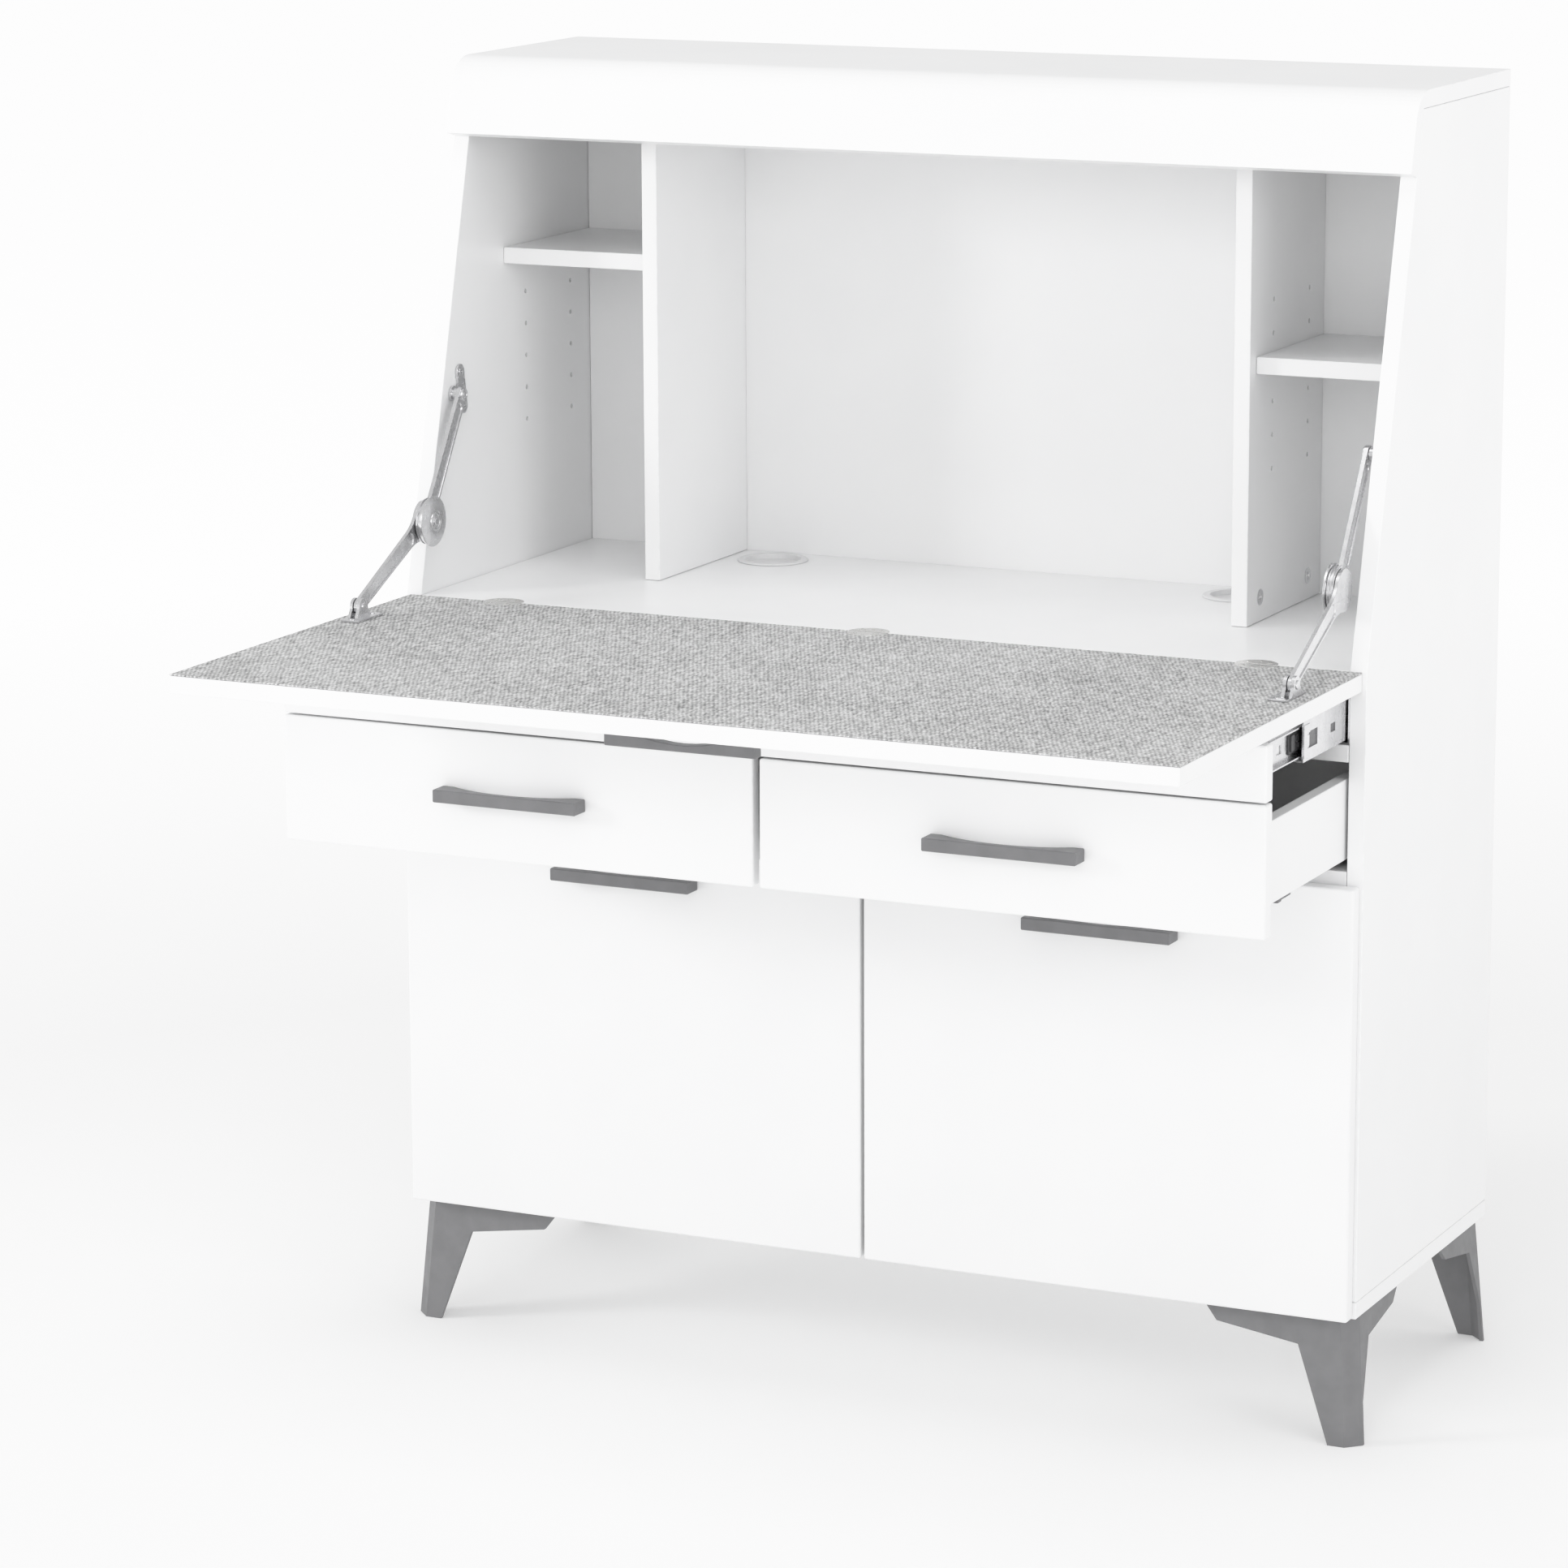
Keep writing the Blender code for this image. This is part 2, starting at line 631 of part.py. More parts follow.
def across(x_limits, side):
    """Centre and thickness of a layer, on the given side of the desk."""
    return side * sum(x_limits) / 2, x_limits[1] - x_limits[0]


def disc_tool(name, x_limits, side, pivot, radius, sides=32):
    centre, thickness = across(x_limits, side)
    return cylinder_cutter(name, radius, thickness, (centre, pivot[0], pivot[1]), "X", sides)


def local_points(points, origin):
    return [(u - origin[0], v - origin[1]) for u, v in points]


def stay_part(name, outline, x_limits, side, origin, parent):
    centre, thickness = across(x_limits, side)
    place = (centre, origin[0], origin[1])
    points = local_points(outline, origin)
    return outline_part(name, ZINC, points, thickness, "YZ", place, parent, 0.3 * MM, 1)


def stay(side, label, flap_axis):
    wall = STAY_WALL_PIVOT
    knuckle = STAY_KNUCKLE
    foot = STAY_FLAP_PIVOT
    # Wall plate: an upright bar with an ear that carries the upper pivot.
    bar = link_outline((88.5 * MM, 903 * MM), (82.5 * MM, 938 * MM), 7 * MM, 7 * MM)
    plate = stay_part(f"stay_{label}_wall_plate", bar, STAY_PLATE_X, side, (85 * MM, 920 * MM), None)
    ear = link_outline(wall, (84 * MM, 918 * MM), 7.5 * MM, 7 * MM)
    ear_x, ear_t = across(STAY_PLATE_X, side)
    boolean(plate, outline_cutter(f"ear_{label}", ear, ear_t - 0.2 * MM, "YZ", (ear_x, 0, 0)), "UNION")
    pin_x = (STAY_UPPER_X[1] + GAP, STAY_PLATE_X[0] + 1 * MM)
    boolean(plate, disc_tool(f"wall_pin_{label}", pin_x, side, wall, 5.5 * MM, 24), "UNION")
    weld(plate)
    # Upper arm with the round knuckle housing at its end.
    upper_axis = joint_empty(f"stay_{label}_upper_axis", side * STAY_UPPER_X[0], *wall)
    arm = link_outline(wall, knuckle, 7.5 * MM, STAY_ARM_WIDTH / 2)
    upper = stay_part(f"stay_{label}_upper_arm", arm, STAY_UPPER_X, side, wall, upper_axis)
    disc = disc_tool(f"disc_{label}", STAY_DISC_X, side, knuckle, STAY_DISC_RADIUS, 40)
    boolean(upper, disc, "UNION")
    hollow_x = (STAY_DISC_X[0] - 1 * MM, STAY_DISC_X[0] + 2.5 * MM)
    boolean(upper, disc_tool(f"dish_{label}", hollow_x, side, knuckle, 19 * MM, 40))
    hub_x = (STAY_DISC_X[0] - 1 * MM, STAY_DISC_X[0] + 3 * MM)
    boolean(upper, disc_tool(f"hub_{label}", hub_x, side, knuckle, 7 * MM, 24), "UNION")
    weld(upper)
    smooth(upper)
    # Lower arm, pivoted on the flap bracket.
    lower_axis = joint_empty(f"stay_{label}_lower_axis", side * STAY_LOWER_X[0], *foot, parent=flap_axis)
    link = link_outline(foot, knuckle, 7 * MM, 11 * MM)
    lower = outline_part(
        f"stay_{label}_lower_arm", ZINC, local_points(link, foot), STAY_LOWER_X[1] - STAY_LOWER_X[0], "YZ",
        (across(STAY_LOWER_X, side)[0], *foot), None, 0.3 * MM, 1,
    )
    eye_x = (STAY_LOWER_X[0] - 1 * MM, STAY_LOWER_X[1] + 1 * MM)
    boolean(lower, disc_tool(f"eye_{label}", eye_x, side, foot, 3.3 * MM, 20))
    lower.parent = lower_axis
    lower.location = (across(STAY_LOWER_X, side)[0] - side * STAY_LOWER_X[0], 0, 0)
    flap_bracket(side, label, flap_axis)


def flap_bracket(side, label, flap_axis):
    """Base plate on the writing surface with two cheeks and the pivot pin."""
    foot = STAY_FLAP_PIVOT
    base_z = DESK_TOP + GAP
    x = sorted((side * 456 * MM, side * 474.6 * MM))
    name = f"stay_{label}_flap_bracket"
    bracket = box(name, ZINC, x, (-158 * MM, -110 * MM), (base_z, base_z + 2 * MM), flap_axis, 0.3 * MM, 1)
    for number, cheek in enumerate(STAY_CHEEKS_X):
        centre, thickness = across(cheek, side)
        shape = [(foot[0] - 13 * MM, base_z + 1 * MM), (foot[0] + 13 * MM, base_z + 1 * MM)]
        shape += arc(foot, 8 * MM, -10, 190, 12)
        tool = outline_cutter(f"cheek_{label}_{number}", shape, thickness, "YZ", (centre, 0, 0))
        boolean(bracket, tool, "UNION")
    pin_x = (STAY_CHEEKS_X[0][0] - 1 * MM, STAY_CHEEKS_X[1][0] + 1 * MM)
    boolean(bracket, disc_tool(f"pivot_{label}", pin_x, side, foot, 3 * MM, 20), "UNION")
    weld(bracket)


# ---------------------------------------------------------------- pull-out tray

def channel_outline(web_x, lip_x, half_height, sheet, side):
    """C section in X and Z: the web at web_x, the lips reaching to lip_x."""
    inner = web_x + math.copysign(sheet, lip_x - web_x)
    shape = [
        (web_x, -half_height), (lip_x, -half_height), (lip_x, -half_height + sheet),
        (inner, -half_height + sheet), (inner, half_height - sheet), (lip_x, half_height - sheet),
        (lip_x, half_height), (web_x, half_height),
    ]
    return [(side * u, v) for u, v in shape]


def slide_member(name, section, front, length, side, windows, parent):
    """One member of a ball-bearing slide, with windows cut in its web."""
    web_x, lip_x, half_height = section
    outline = channel_outline(web_x, lip_x, half_height, SLIDE_SHEET, side)
    place = (0, front + length / 2, SLIDE_CENTRE_Z)
    part = outline_part(name, ZINC, outline, length, "XZ", place, parent)
    cuts = []
    for number, (start, size, height) in enumerate(windows):
        y = (front + start, front + start + size)
        x = sorted((side * (web_x - 3 * MM), side * (web_x + 3 * MM)))
        z = (SLIDE_CENTRE_Z - height / 2, SLIDE_CENTRE_Z + height / 2)
        cuts.append(box_cutter(f"{name}_window_{number}", x, y, z))
    if cuts:
        boolean(part, joined_cutter(f"{name}_windows", cuts))
    return part


def tray_slides(side, label, middle_axis, tray_axis):
    case_section = (475.7 * MM, 463.5 * MM, 22.5 * MM)
    middle_section = (472.8 * MM, 464.9 * MM, 18.4 * MM)
    tray_section = (463.2 * MM, 469.8 * MM, 14 * MM)
    large = 22 * MM
    slots = [(14 * MM, large, 15 * MM), (70 * MM, 12 * MM, 8 * MM), (200 * MM, large, 12 * MM)]
    slide_member(f"slide_{label}_case_member", case_section, SLIDE_FRONT, SLIDE_LENGTH, side,
                 [(40 * MM, large, 10 * MM), (250 * MM, large, 10 * MM)], None)
    slide_member(f"slide_{label}_middle_member", middle_section, SLIDE_FRONT + 2 * MM - EXTENSION / 2,
                 SLIDE_LENGTH - 8 * MM, side, slots, middle_axis)
    slide_member(f"slide_{label}_tray_member", tray_section, SLIDE_FRONT - EXTENSION,
                 SLIDE_LENGTH - 12 * MM, side, slots, tray_axis)


def pullout(tray_axis):
    front_y = (-FRONT_THICKNESS - EXTENSION, -EXTENSION)
    front_x = (-FRONT_HALF_WIDTH, FRONT_HALF_WIDTH)
    box("pullout_front", WHITE, front_x, front_y, PULLOUT_FRONT_Z, tray_axis, FRONT_RADIUS, 3)
    y = (-EXTENSION + GAP, -EXTENSION + GAP + TRAY_DEPTH)
    tray = box("pullout_tray", WHITE, (-TRAY_HALF_WIDTH, TRAY_HALF_WIDTH), y, TRAY_Z, tray_axis)
    inside_x = TRAY_HALF_WIDTH - TRAY_WALL
    inside_y = (y[0] + TRAY_WALL, y[1] - TRAY_WALL)
    inside_z = (TRAY_Z[0] + TRAY_FLOOR, TRAY_Z[1] + 5 * MM)
    boolean(tray, box_cutter("tray_inside", (-inside_x, inside_x), inside_y, inside_z))


# ---------------------------------------------------------------- drawers

def drawer(side, label, axis):
    front_x = sorted((side * DRAWER_HALF_GAP, side * FRONT_HALF_WIDTH))
    front_y = (-FRONT_THICKNESS - EXTENSION, -EXTENSION)
    box(f"drawer_{label}_front", WHITE, front_x, front_y, DRAWER_FRONT_Z, axis, FRONT_RADIUS, 3)
    x = sorted((side * BOX_X[0], side * BOX_X[1]))
    y = (-EXTENSION + GAP, -EXTENSION + GAP + BOX_DEPTH)
    shell = box(f"drawer_{label}_box", WHITE, x, y, BOX_Z, axis)
    inside_x = (x[0] + BOX_WALL, x[1] - BOX_WALL)
    hollow_y = (y[0] - CUT_MARGIN, y[1] - BOX_WALL)
    hollow_z = (BOX_Z[0] - CUT_MARGIN, BOX_Z[1] + CUT_MARGIN)
    boolean(shell, box_cutter(f"hollow_{label}", inside_x, hollow_y, hollow_z))
    under_y = (y[1] - BOX_WALL - CUT_MARGIN, y[1] + CUT_MARGIN)
    under_z = (BOX_Z[0] - CUT_MARGIN, BOX_FLOOR_Z[1] + GAP)
    boolean(shell, box_cutter(f"under_back_{label}", inside_x, under_y, under_z))
    floor_x = (inside_x[0] + GAP, inside_x[1] - GAP)
    box(f"drawer_{label}_bottom", DARK_BOARD, floor_x, y, BOX_FLOOR_Z, axis, 0.4 * MM, 1)
    front_handle(f"drawer_{label}_handle", sum(front_x) / 2, front_y[0], DRAWER_HANDLE_Z, axis)


def runner_set(side, label):
    """Two undermount runners tied by their synchronising rod."""
    near = BOX_X[0] + BOX_WALL + 2 * MM
    far = BOX_X[1] - BOX_WALL - 2 * MM
    y = (3 * MM, 350 * MM)
    rails = [(near, near + RUNNER_WIDTH), (far - RUNNER_WIDTH, far)]
    x = sorted((side * rails[0][0], side * rails[0][1]))
    part = box(f"drawer_{label}_runners", ZINC, x, y, RUNNER_Z, None, 0)
    other_x = sorted((side * rails[1][0], side * rails[1][1]))
    boolean(part, box_cutter(f"second_rail_{label}", other_x, y, RUNNER_Z), "UNION")
    rod_x = (rails[0][0] + 5 * MM, rails[1][1] - 5 * MM)
    rod_centre = (side * sum(rod_x) / 2, 338 * MM, 552 * MM)
    rod = cylinder_cutter(f"rod_{label}", 3 * MM, rod_x[1] - rod_x[0], rod_centre, "X", 16)
    boolean(part, rod, "UNION")
    grooves = []
    groove_z = (RUNNER_Z[0] + 6 * MM, RUNNER_Z[1] - 5 * MM)
    for number, rail in enumerate(rails):
        groove_x = sorted((side * (rail[0] - 1 * MM), side * (rail[0] + 5 * MM)))
        groove_y = (y[0] - 1 * MM, 330 * MM)
        grooves.append(box_cutter(f"groove_{label}_{number}", groove_x, groove_y, groove_z))
    boolean(part, joined_cutter(f"grooves_{label}", grooves))


# ---------------------------------------------------------------- doors

def door(side, label, axis):
    x = sorted((side * DOOR_HALF_GAP, side * FRONT_HALF_WIDTH))
    y = (-FRONT_THICKNESS, 0.0)
    box(f"door_{label}", WHITE, x, y, DOOR_FRONT_Z, axis, FRONT_RADIUS, 3)
    front_handle(f"door_{label}_handle", sum(x) / 2, y[0], DOOR_HANDLE_Z, axis)


def centre_on_origin():
    """Hang everything on one empty that puts the origin under the middle of the open desk."""
    top_level = [part for part in PARTS.objects if part.parent is None]
    middle = bpy.data.objects.new("desk_middle", None)
    PARTS.objects.link(middle)
    middle.location = (0, (FLAP_LENGTH - BACK_REACH) / 2, 0)
    for part in top_level:
        part.parent = middle
    for cutter in CUTTERS.objects:
        cutter.parent = middle


def build():
    side_panels()
    top_cap()
    horizontal_boards()
    writing_deck()
    upper_compartments()
    partitions()
    feet()
    cable_outlets()
    flap_axis = joint_empty("flap_axis", 0, 0, DESK_TOP)
    flap(flap_axis)
    flap_hinges(flap_axis)
    tray_axis = joint_empty("tray_axis", 0, -EXTENSION, SLIDE_CENTRE_Z)
    middle_axis = joint_empty("slide_middle_axis", 0, -EXTENSION / 2, SLIDE_CENTRE_Z)
    pullout(tray_axis)
    for side, label in ((-1, "left"), (1, "right")):
        stay(side, label, flap_axis)
        tray_slides(side, label, middle_axis, tray_axis)
        drawer_axis = joint_empty(f"drawer_{label}_axis", side * 246 * MM, -EXTENSION, BOX_Z[0])
        drawer(side, label, drawer_axis)
        runner_set(side, label)
        hinge_x = side * (FRONT_HALF_WIDTH - 0.5 * MM)
        door_axis = joint_empty(f"door_{label}_axis", hinge_x, -FRONT_THICKNESS - 0.5 * MM, DOOR_FRONT_Z[0])
        door(side, label, door_axis)
    centre_on_origin()


build()
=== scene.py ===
import json
import math

import bpy
from mathutils import Matrix, Vector
from mathutils.geometry import tessellate_polygon


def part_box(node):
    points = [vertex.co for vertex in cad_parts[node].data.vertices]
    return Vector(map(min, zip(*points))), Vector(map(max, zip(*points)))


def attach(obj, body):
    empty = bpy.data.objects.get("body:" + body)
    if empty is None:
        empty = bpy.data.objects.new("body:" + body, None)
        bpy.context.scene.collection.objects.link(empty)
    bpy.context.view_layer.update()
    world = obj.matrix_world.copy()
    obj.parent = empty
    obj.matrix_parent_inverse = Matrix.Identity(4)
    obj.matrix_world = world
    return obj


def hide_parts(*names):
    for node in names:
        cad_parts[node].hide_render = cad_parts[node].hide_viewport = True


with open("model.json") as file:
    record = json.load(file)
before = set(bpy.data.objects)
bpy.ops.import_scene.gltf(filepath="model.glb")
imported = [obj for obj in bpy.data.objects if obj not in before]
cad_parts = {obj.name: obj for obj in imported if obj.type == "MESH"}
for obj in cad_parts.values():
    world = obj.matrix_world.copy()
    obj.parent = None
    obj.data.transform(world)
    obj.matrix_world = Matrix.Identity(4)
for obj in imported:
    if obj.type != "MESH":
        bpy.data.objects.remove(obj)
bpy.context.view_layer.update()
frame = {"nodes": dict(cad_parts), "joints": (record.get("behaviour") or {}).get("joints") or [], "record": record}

MM = 0.001
NODES = frame["nodes"]
JOINTS = {joint["name"]: joint for joint in frame["joints"]}
SLOT_OF = {part["node"]: part["material_slot"] for part in frame["record"]["subparts"]}
HINGE_LINE = Vector(JOINTS["flap_hinge"]["pos_m"])
SIDES = ((-1, "left"), (1, "right"))
X_AXIS, Y_AXIS, Z_AXIS = Vector((1, 0, 0)), Vector((0, 1, 0)), Vector((0, 0, 1))


# ---------------------------------------------------------------- materials

class Look:
    """A procedural material whose patterns are measured in metres on the object."""

    def __init__(self, name, metallic=0.0, specular=0.5, sheen=0.0):
        self.material = bpy.data.materials.new(name)
        self.material.use_nodes = True
        self.tree = self.material.node_tree
        self.shader = self.tree.nodes["Principled BSDF"]
        self.shader.inputs["Metallic"].default_value = metallic
        self.shader.inputs["Specular IOR Level"].default_value = specular
        self.shader.inputs["Sheen Weight"].default_value = sheen
        self.place = self.add("TexCoord").outputs["Object"]
        self.parts = self.add("SeparateXYZ", self.place).outputs

    def add(self, kind, *values):
        node = self.tree.nodes.new("ShaderNode" + kind)
        for socket, value in zip(node.inputs, values):
            self.put(socket, value)
        return node

    def put(self, socket, value):
        if isinstance(value, bpy.types.NodeSocket):
            self.tree.links.new(value, socket)
        elif value is not None:
            socket.default_value = value

    def math(self, operation, a, b=None):
        node = self.add("Math", a, b)
        node.operation = operation
        return node.outputs[0]

    def noise(self, size, detail=2.0, stretch=(1, 1, 1)):
        """Noise whose features are about size metres across, longer where stretch is larger."""
        scaled = self.add("Mapping", self.place)
        scaled.inputs["Scale"].default_value = [1 / (size * factor) for factor in stretch]
        node = self.add("TexNoise")
        self.put(node.inputs["Vector"], scaled.outputs[0])
        self.put(node.inputs["Scale"], 1.0)
        self.put(node.inputs["Detail"], detail)
        return node.outputs["Fac"]

    def remap(self, value, low, high, out_low=0.0, out_high=1.0):
        node = self.add("MapRange", value, low, high, out_low, out_high)
        return node.outputs[0]

    def mix(self, factor, a, b):
        node = self.add("Mix")
        node.data_type = "RGBA"
        self.put(node.inputs["Factor"], factor)
        self.put(node.inputs[6], (*a, 1.0) if isinstance(a, tuple) else a)
        self.put(node.inputs[7], (*b, 1.0) if isinstance(b, tuple) else b)
        return node.outputs[2]

    def bump(self, height, distance, strength=1.0, below=None):
        node = self.add("Bump")
        self.put(node.inputs["Height"], height)
        self.put(node.inputs["Distance"], distance)
        self.put(node.inputs["Strength"], strength)
        self.put(node.inputs["Normal"], below)
        return node.outputs[0]

    def edge(self, low, high, width):
        """1 at the edges of the box low..high and 0 further in than width."""
        gaps = []
        for axis in range(3):
            near = self.math("SUBTRACT", self.parts[axis], low[axis])
            far = self.math("SUBTRACT", high[axis], self.parts[axis])
            gaps.append(self.math("MINIMUM", near, far))
        small = self.math("MINIMUM", gaps[0], gaps[1])
        large = self.math("MAXIMUM", gaps[0], gaps[1])
        middle = self.math("MAXIMUM", small, self.math("MINIMUM", large, gaps[2]))
        return self.remap(middle, width * 0.2, width, 1.0, 0.0)

    def finish(self, colour, roughness, normal=None):
        self.put(self.shader.inputs["Base Color"], colour)
        self.put(self.shader.inputs["Roughness"], roughness)
        self.put(self.shader.inputs["Normal"], normal)
        return self.material


def laminate(name, light, shade, painted_edge_tone, roughness, box):
    """Satin laminate with a fine orange peel, faint smudges and an edge colour in patches: painted shade on the
    white boards, a painted highlight on the grey ones.
    """
    look = Look(name, specular=0.45)
    tone = look.mix(look.remap(look.noise(0.16, 3), 0.35, 0.65), light, shade)
    # Painted edge tone: near the edges the colour is pulled in patches towards the edge colour, as painted shade
    # on white boards and a painted highlight on grey ones.
    painted_edge_mask = look.math("MULTIPLY", look.edge(*box, 1.6 * MM), look.remap(look.noise(0.011, 4), 0.42, 0.68))
    colour = look.mix(look.math("MULTIPLY", painted_edge_mask, 0.55), tone, painted_edge_tone)
    smudge = look.remap(look.noise(0.045, 4), 0.3, 0.7, roughness - 0.04, roughness + 0.05)
    peel = look.bump(look.noise(1.1 * MM, 2), 0.02 * MM, 0.5)
    soft = look.bump(look.noise(0.03, 1), 0.03 * MM, 0.35, peel)
    return look.finish(colour, look.math("ADD", smudge, look.math("MULTIPLY", painted_edge_mask, 0.12)), soft)


def powder_coat(name, colour, dark, roughness, box=None):
    """Powder-coated metal: a fine pebbled skin, with a painted highlight in patches along the edges."""
    look = Look(name, metallic=0.15, specular=0.5)
    tone = look.mix(look.remap(look.noise(0.02, 3), 0.35, 0.65), colour, dark)
    if box:
        # Painted highlight: patches near the edges are lightened towards 1.5 times the coat colour.
        patches = look.remap(look.noise(0.006, 3), 0.5, 0.7)
        painted_edge_mask = look.math("MULTIPLY", look.edge(*box, 0.9 * MM), patches)
        tone = look.mix(look.math("MULTIPLY", painted_edge_mask, 0.4), tone, tuple(c * 1.5 for c in colour))
    rough = look.remap(look.noise(0.012, 3), 0.3, 0.7, roughness - 0.05, roughness + 0.07)
    return look.finish(tone, rough, look.bump(look.noise(0.45 * MM, 2), 0.03 * MM, 0.7))


def plated(name, bright, dull, roughness, stretch=(1, 1, 1)):
    """Zinc or nickel plate with drawn streaks and small spots."""
    look = Look(name, metallic=1.0, specular=0.5)
    streak = look.noise(0.5 * MM, 3, stretch)
    tone = look.mix(look.remap(look.noise(14 * MM, 2), 0.35, 0.75, 0.0, 0.5), bright, dull)
    tone = look.mix(look.remap(streak, 0.55, 0.8, 0.0, 0.2), tone, dull)
    rough = look.remap(look.noise(9 * MM, 2), 0.3, 0.7, roughness - 0.03, roughness + 0.05)
    return look.finish(tone, rough, look.bump(streak, 0.003 * MM, 0.4))


def plastic(name, colour, roughness):
    look = Look(name, specular=0.5)
    tone = look.mix(look.noise(8 * MM, 3), colour, tuple(c * 0.93 for c in colour))
    rough = look.remap(look.noise(2 * MM, 3), 0.3, 0.7, roughness - 0.05, roughness + 0.06)
    return look.finish(tone, rough, look.bump(look.noise(0.25 * MM, 1), 0.012 * MM, 0.6))


# Thread spacing along X and Y, and the colours in the gaps and on the threads
WEAVE_PITCH = (2.1 * MM, 4.3 * MM)
WEAVE_DARK, WEAVE_LIGHT = (0.04, 0.04, 0.04), (0.75, 0.75, 0.75)


def woven(name):
    """Plain-weave sheet: rounded threads that pass over and under each other."""
    look = Look(name, specular=0.3, sheen=0.08)
    drift = look.remap(look.noise(0.028, 2), 0.0, 1.0, -0.6, 0.6)
    flow = look.remap(look.noise(0.02, 2), 0.0, 1.0, -0.9, 0.9)
    along = look.math("ADD", look.math("DIVIDE", look.parts[0], WEAVE_PITCH[0]), drift)
    across = look.math("ADD", look.math("DIVIDE", look.parts[1], WEAVE_PITCH[1]), flow)
    wave = [look.math("SINE", look.math("MULTIPLY", value, math.pi)) for value in (along, across)]
    ridge = [look.math("POWER", look.math("ABSOLUTE", value), 0.7) for value in wave]
    over = look.remap(look.math("MULTIPLY", wave[0], wave[1]), -0.25, 0.25)
    warp = look.math("MULTIPLY", over, ridge[0])
    weft = look.math("MULTIPLY", look.math("SUBTRACT", 1.0, over), ridge[1])
    height = look.math("ADD", warp, weft)
    slub = look.remap(look.noise(2.7 * MM, 1, (1, 2.8, 1)), 0.32, 0.68, -0.26, 0.26)
    bar = look.remap(look.noise(5.5 * MM, 1, (1, 2, 1)), 0.35, 0.65, -0.1, 0.1)
    fibre = look.noise(0.3 * MM, 2, (4, 1, 1))
    level = look.math("ADD", look.math("MULTIPLY", height, 0.55), look.math("ADD", slub, bar))
    level = look.math("ADD", level, look.math("MULTIPLY", over, 0.42))
    cloud = look.remap(look.noise(0.13, 2), 0.35, 0.65, -0.06, 0.06)
    shade = look.remap(look.math("ADD", level, cloud), -0.15, 1.15)
    tone = look.mix(shade, WEAVE_DARK, WEAVE_LIGHT)
    normal = look.bump(fibre, 0.04 * MM, 0.5, look.bump(height, 0.28 * MM, 0.8))
    return look.finish(tone, look.remap(fibre, 0.3, 0.7, 0.62, 0.8), normal)


# Each finish: its main colour, its variation and, for boards, the colour of its painted edge shade (white boards)
# and painted edge highlight (grey boards)
WHITE_BOARD = ((0.885, 0.886, 0.888), (0.862, 0.864, 0.868), (0.74, 0.74, 0.745))
GREY_BOARD = ((0.78, 0.78, 0.785), (0.75, 0.75, 0.755), (0.82, 0.82, 0.82))
FOOT_COAT = ((0.205, 0.205, 0.21), (0.185, 0.185, 0.19))
HANDLE_COAT = ((0.185, 0.185, 0.19), (0.165, 0.165, 0.17))


def node_look(node, slot):
    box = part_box(node)
    if slot == "white_board":
        return laminate(f"white_{node}", *WHITE_BOARD, 0.33, box)
    if slot == "dark_board":
        return laminate(f"dark_{node}", *GREY_BOARD, 0.45, box)
    if slot == "foot_metal":
        return powder_coat(f"coat_{node}", *FOOT_COAT, 0.46, box)
    if slot == "handle_metal":
        return powder_coat(f"coat_{node}", *HANDLE_COAT, 0.42, box)
    return SHARED[slot]


STEEL = plated("zinc_plate", (0.72, 0.72, 0.73), (0.58, 0.58, 0.59), 0.25, (1, 12, 1))
NICKEL = plated("nickel_plate", (0.70, 0.695, 0.68), (0.52, 0.515, 0.50), 0.24)
BLACK_PLASTIC = plastic("black_plastic", (0.05, 0.05, 0.052), 0.38)
GREY_PLASTIC = plastic("grey_plastic", (0.16, 0.16, 0.165), 0.45)
PALE_PLASTIC = plastic("outlet_plastic", (0.74, 0.74, 0.745), 0.36)
SHARED = {
    "zinc_steel": STEEL,
    "nickel": NICKEL,
    "outlet_plastic": PALE_PLASTIC,
    "woven_sheet": woven("woven_sheet"),
}

for node_name, node_object in NODES.items():
    made = node_look(node_name, SLOT_OF[node_name])
    if not node_object.material_slots:
        node_object.data.materials.append(made)
    for material_slot in node_object.material_slots:
        material_slot.material = made


# ---------------------------------------------------------------- mesh tools

def in_mm(*pairs):
    """The pairs, given in millimetres, in metres."""
    return [(a * MM, b * MM) for a, b in pairs]


def ring_points(radius, steps):
    turns = [2 * math.pi * step / steps for step in range(steps)]
    return [(radius * math.cos(turn), radius * math.sin(turn)) for turn in turns]


def cross_points(arm, half):
    """Outline of a cross recess, anticlockwise."""
    quarter = [(arm, -half), (arm, half), (half, half)]
    points = []
    for step in range(4):
        turn = Matrix.Rotation(step * math.pi / 2, 2)
        points += [tuple(turn @ Vector(point)) for point in quarter]
    return points


def link_points(start, end, start_radius, end_radius, steps=14):
    """Outline of a flat link with straight sides around two centres."""
    run = Vector(end) - Vector(start)
    heading = math.atan2(run.y, run.x)
    spread = math.acos((start_radius - end_radius) / run.length)
    points = []
    sweeps = (
        (start, start_radius, heading + spread, heading + 2 * math.pi - spread),
        (end, end_radius, heading - spread, heading + spread),
    )
    for centre, radius, first, last in sweeps:
        for step in range(steps + 1):
            turn = first + (last - first) * step / steps
            points.append((centre[0] + radius * math.cos(turn), centre[1] + radius * math.sin(turn)))
    return points


